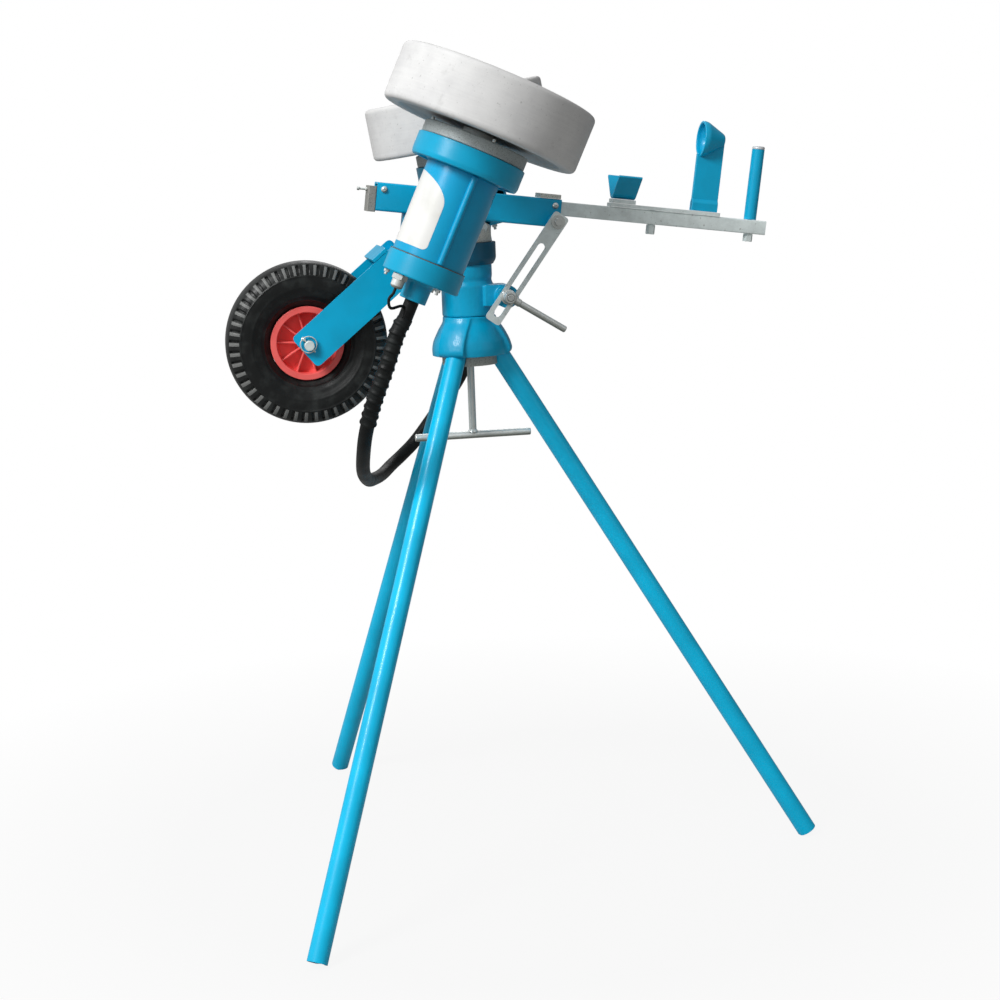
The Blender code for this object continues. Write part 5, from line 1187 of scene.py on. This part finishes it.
strap = worked(block((0.162, -0.060, fork_high + gap), (0.190, 0.060, fork_high + 0.0063),
                     0.001), edge(0.0010))
add_piece("fork_cross_strap", strap, blue_paint, "head", ["fork_strap"], fork_place)
stem = together(worked(block((-0.149, -0.0547, -0.080), (-0.121, 0.0547, -0.052), 0.002),
                       edge(0.0012)),
                worked(block((-0.131, -0.013, -0.073), (-0.105, 0.013, beam_under - gap),
                             0.003), edge(0.0006)),
                weld([(-0.131, -0.0132, -0.0515), (-0.105, -0.0132, -0.0515)], 0.002),
                weld([(-0.131, 0.0132, -0.0515), (-0.121, 0.0132, -0.0515)], 0.002))
add_piece("fork_stem_and_crosshead", stem, blue_paint, "head", ["fork_stem"], beam)


# The floor and the backdrop are one white studio sheet. The light is plain: a large lamp
# high on the left, with weak ones in front and behind, and darker air low on the right.
def seen_directly(nodes, in_gloss=0.12):
    """How white the backdrop is: fully so to the camera and through glass, less in gloss."""
    rays = nodes.tree.nodes.new("ShaderNodeLightPath")
    camera_ray, glossy_ray, through_ray = (
        Value(nodes, rays.outputs[name])
        for name in ("Is Camera Ray", "Is Glossy Ray", "Is Transmission Ray"))
    shown = camera_ray + glossy_ray * in_gloss + through_ray
    return shown.maths("MINIMUM", shown, 1.0)


floor_finish = Finish("floor", (0.30, 0.30, 0.29), 0.9)
flat_place = floor_finish.node("ShaderNodeVectorMath", {0: floor_finish.place,
                                                        1: (1.0, 1.0, 0.0)}, operation="MULTIPLY")
away = floor_finish.node("ShaderNodeVectorMath", {0: flat_place}, out=1, operation="LENGTH")
glow = floor_finish.spread(away, 0.6, 1.4, 0.91, 1.0) * seen_directly(floor_finish)
white = floor_finish.node("ShaderNodeEmission", {"Color": (1, 1, 1, 1), "Strength": 1.0})
sheet_shader = floor_finish.node("ShaderNodeMixShader", {
    0: glow, 1: Value(floor_finish, floor_finish.shader.outputs[0]), 2: white})
floor_finish.tree.links.new(sheet_shader.socket,
                            floor_finish.tree.nodes["Material Output"].inputs["Surface"])
sheet = bmesh.new()
bmesh.ops.create_grid(sheet, x_segments=1, y_segments=1, size=8.0)
floor_mesh = bpy.data.meshes.new("floor")
sheet.to_mesh(floor_mesh)
sheet.free()
floor_mesh.materials.append(floor_finish.material)
floor = bpy.data.objects.new("floor", floor_mesh)
floor.location = (0.0, 0.0, -0.0005)
bpy.context.scene.collection.objects.link(floor)

world = bpy.data.worlds.new("studio")
world.use_nodes = True
bpy.context.scene.world = world
air = Nodes(world.node_tree)
towards = air.node("ShaderNodeTexCoord", out="Generated")
from_left = air.node("ShaderNodeVectorMath", {0: towards, 1: (-0.45, -0.10, 0.55)}, out=1,
                     operation="DOT_PRODUCT")
dim = air.node("ShaderNodeMapRange", {"Value": from_left, "From Min": -0.4, "From Max": 0.6,
                                      "To Min": 0.02, "To Max": 0.62})
strength = dim + (1.0 - dim) * seen_directly(air)
backdrop = world.node_tree.nodes["Background"]
backdrop.inputs["Color"].default_value = (1.0, 1.0, 1.0, 1.0)
world.node_tree.links.new(strength.socket, backdrop.inputs["Strength"])


def lamp(name, place, aim, size, watts):
    light = bpy.data.lights.new(name, "AREA")
    light.shape = "DISK"
    light.size = size
    light.energy = watts
    made = bpy.data.objects.new(name, light)
    made.location = place
    made.rotation_euler = (Vector(aim) - Vector(place)).to_track_quat("-Z", "Y").to_euler()
    bpy.context.scene.collection.objects.link(made)


lamp("key", (-2.45, -1.9, 3.2), (0.0, 0.0, 0.9), 1.3, 117.0)
lamp("fill", (2.8, -2.6, 1.8), (0.0, 0.0, 0.8), 2.5, 5.0)
lamp("back", (0.5, 3.0, 2.6), (0.0, 0.0, 0.9), 2.0, 18.0)
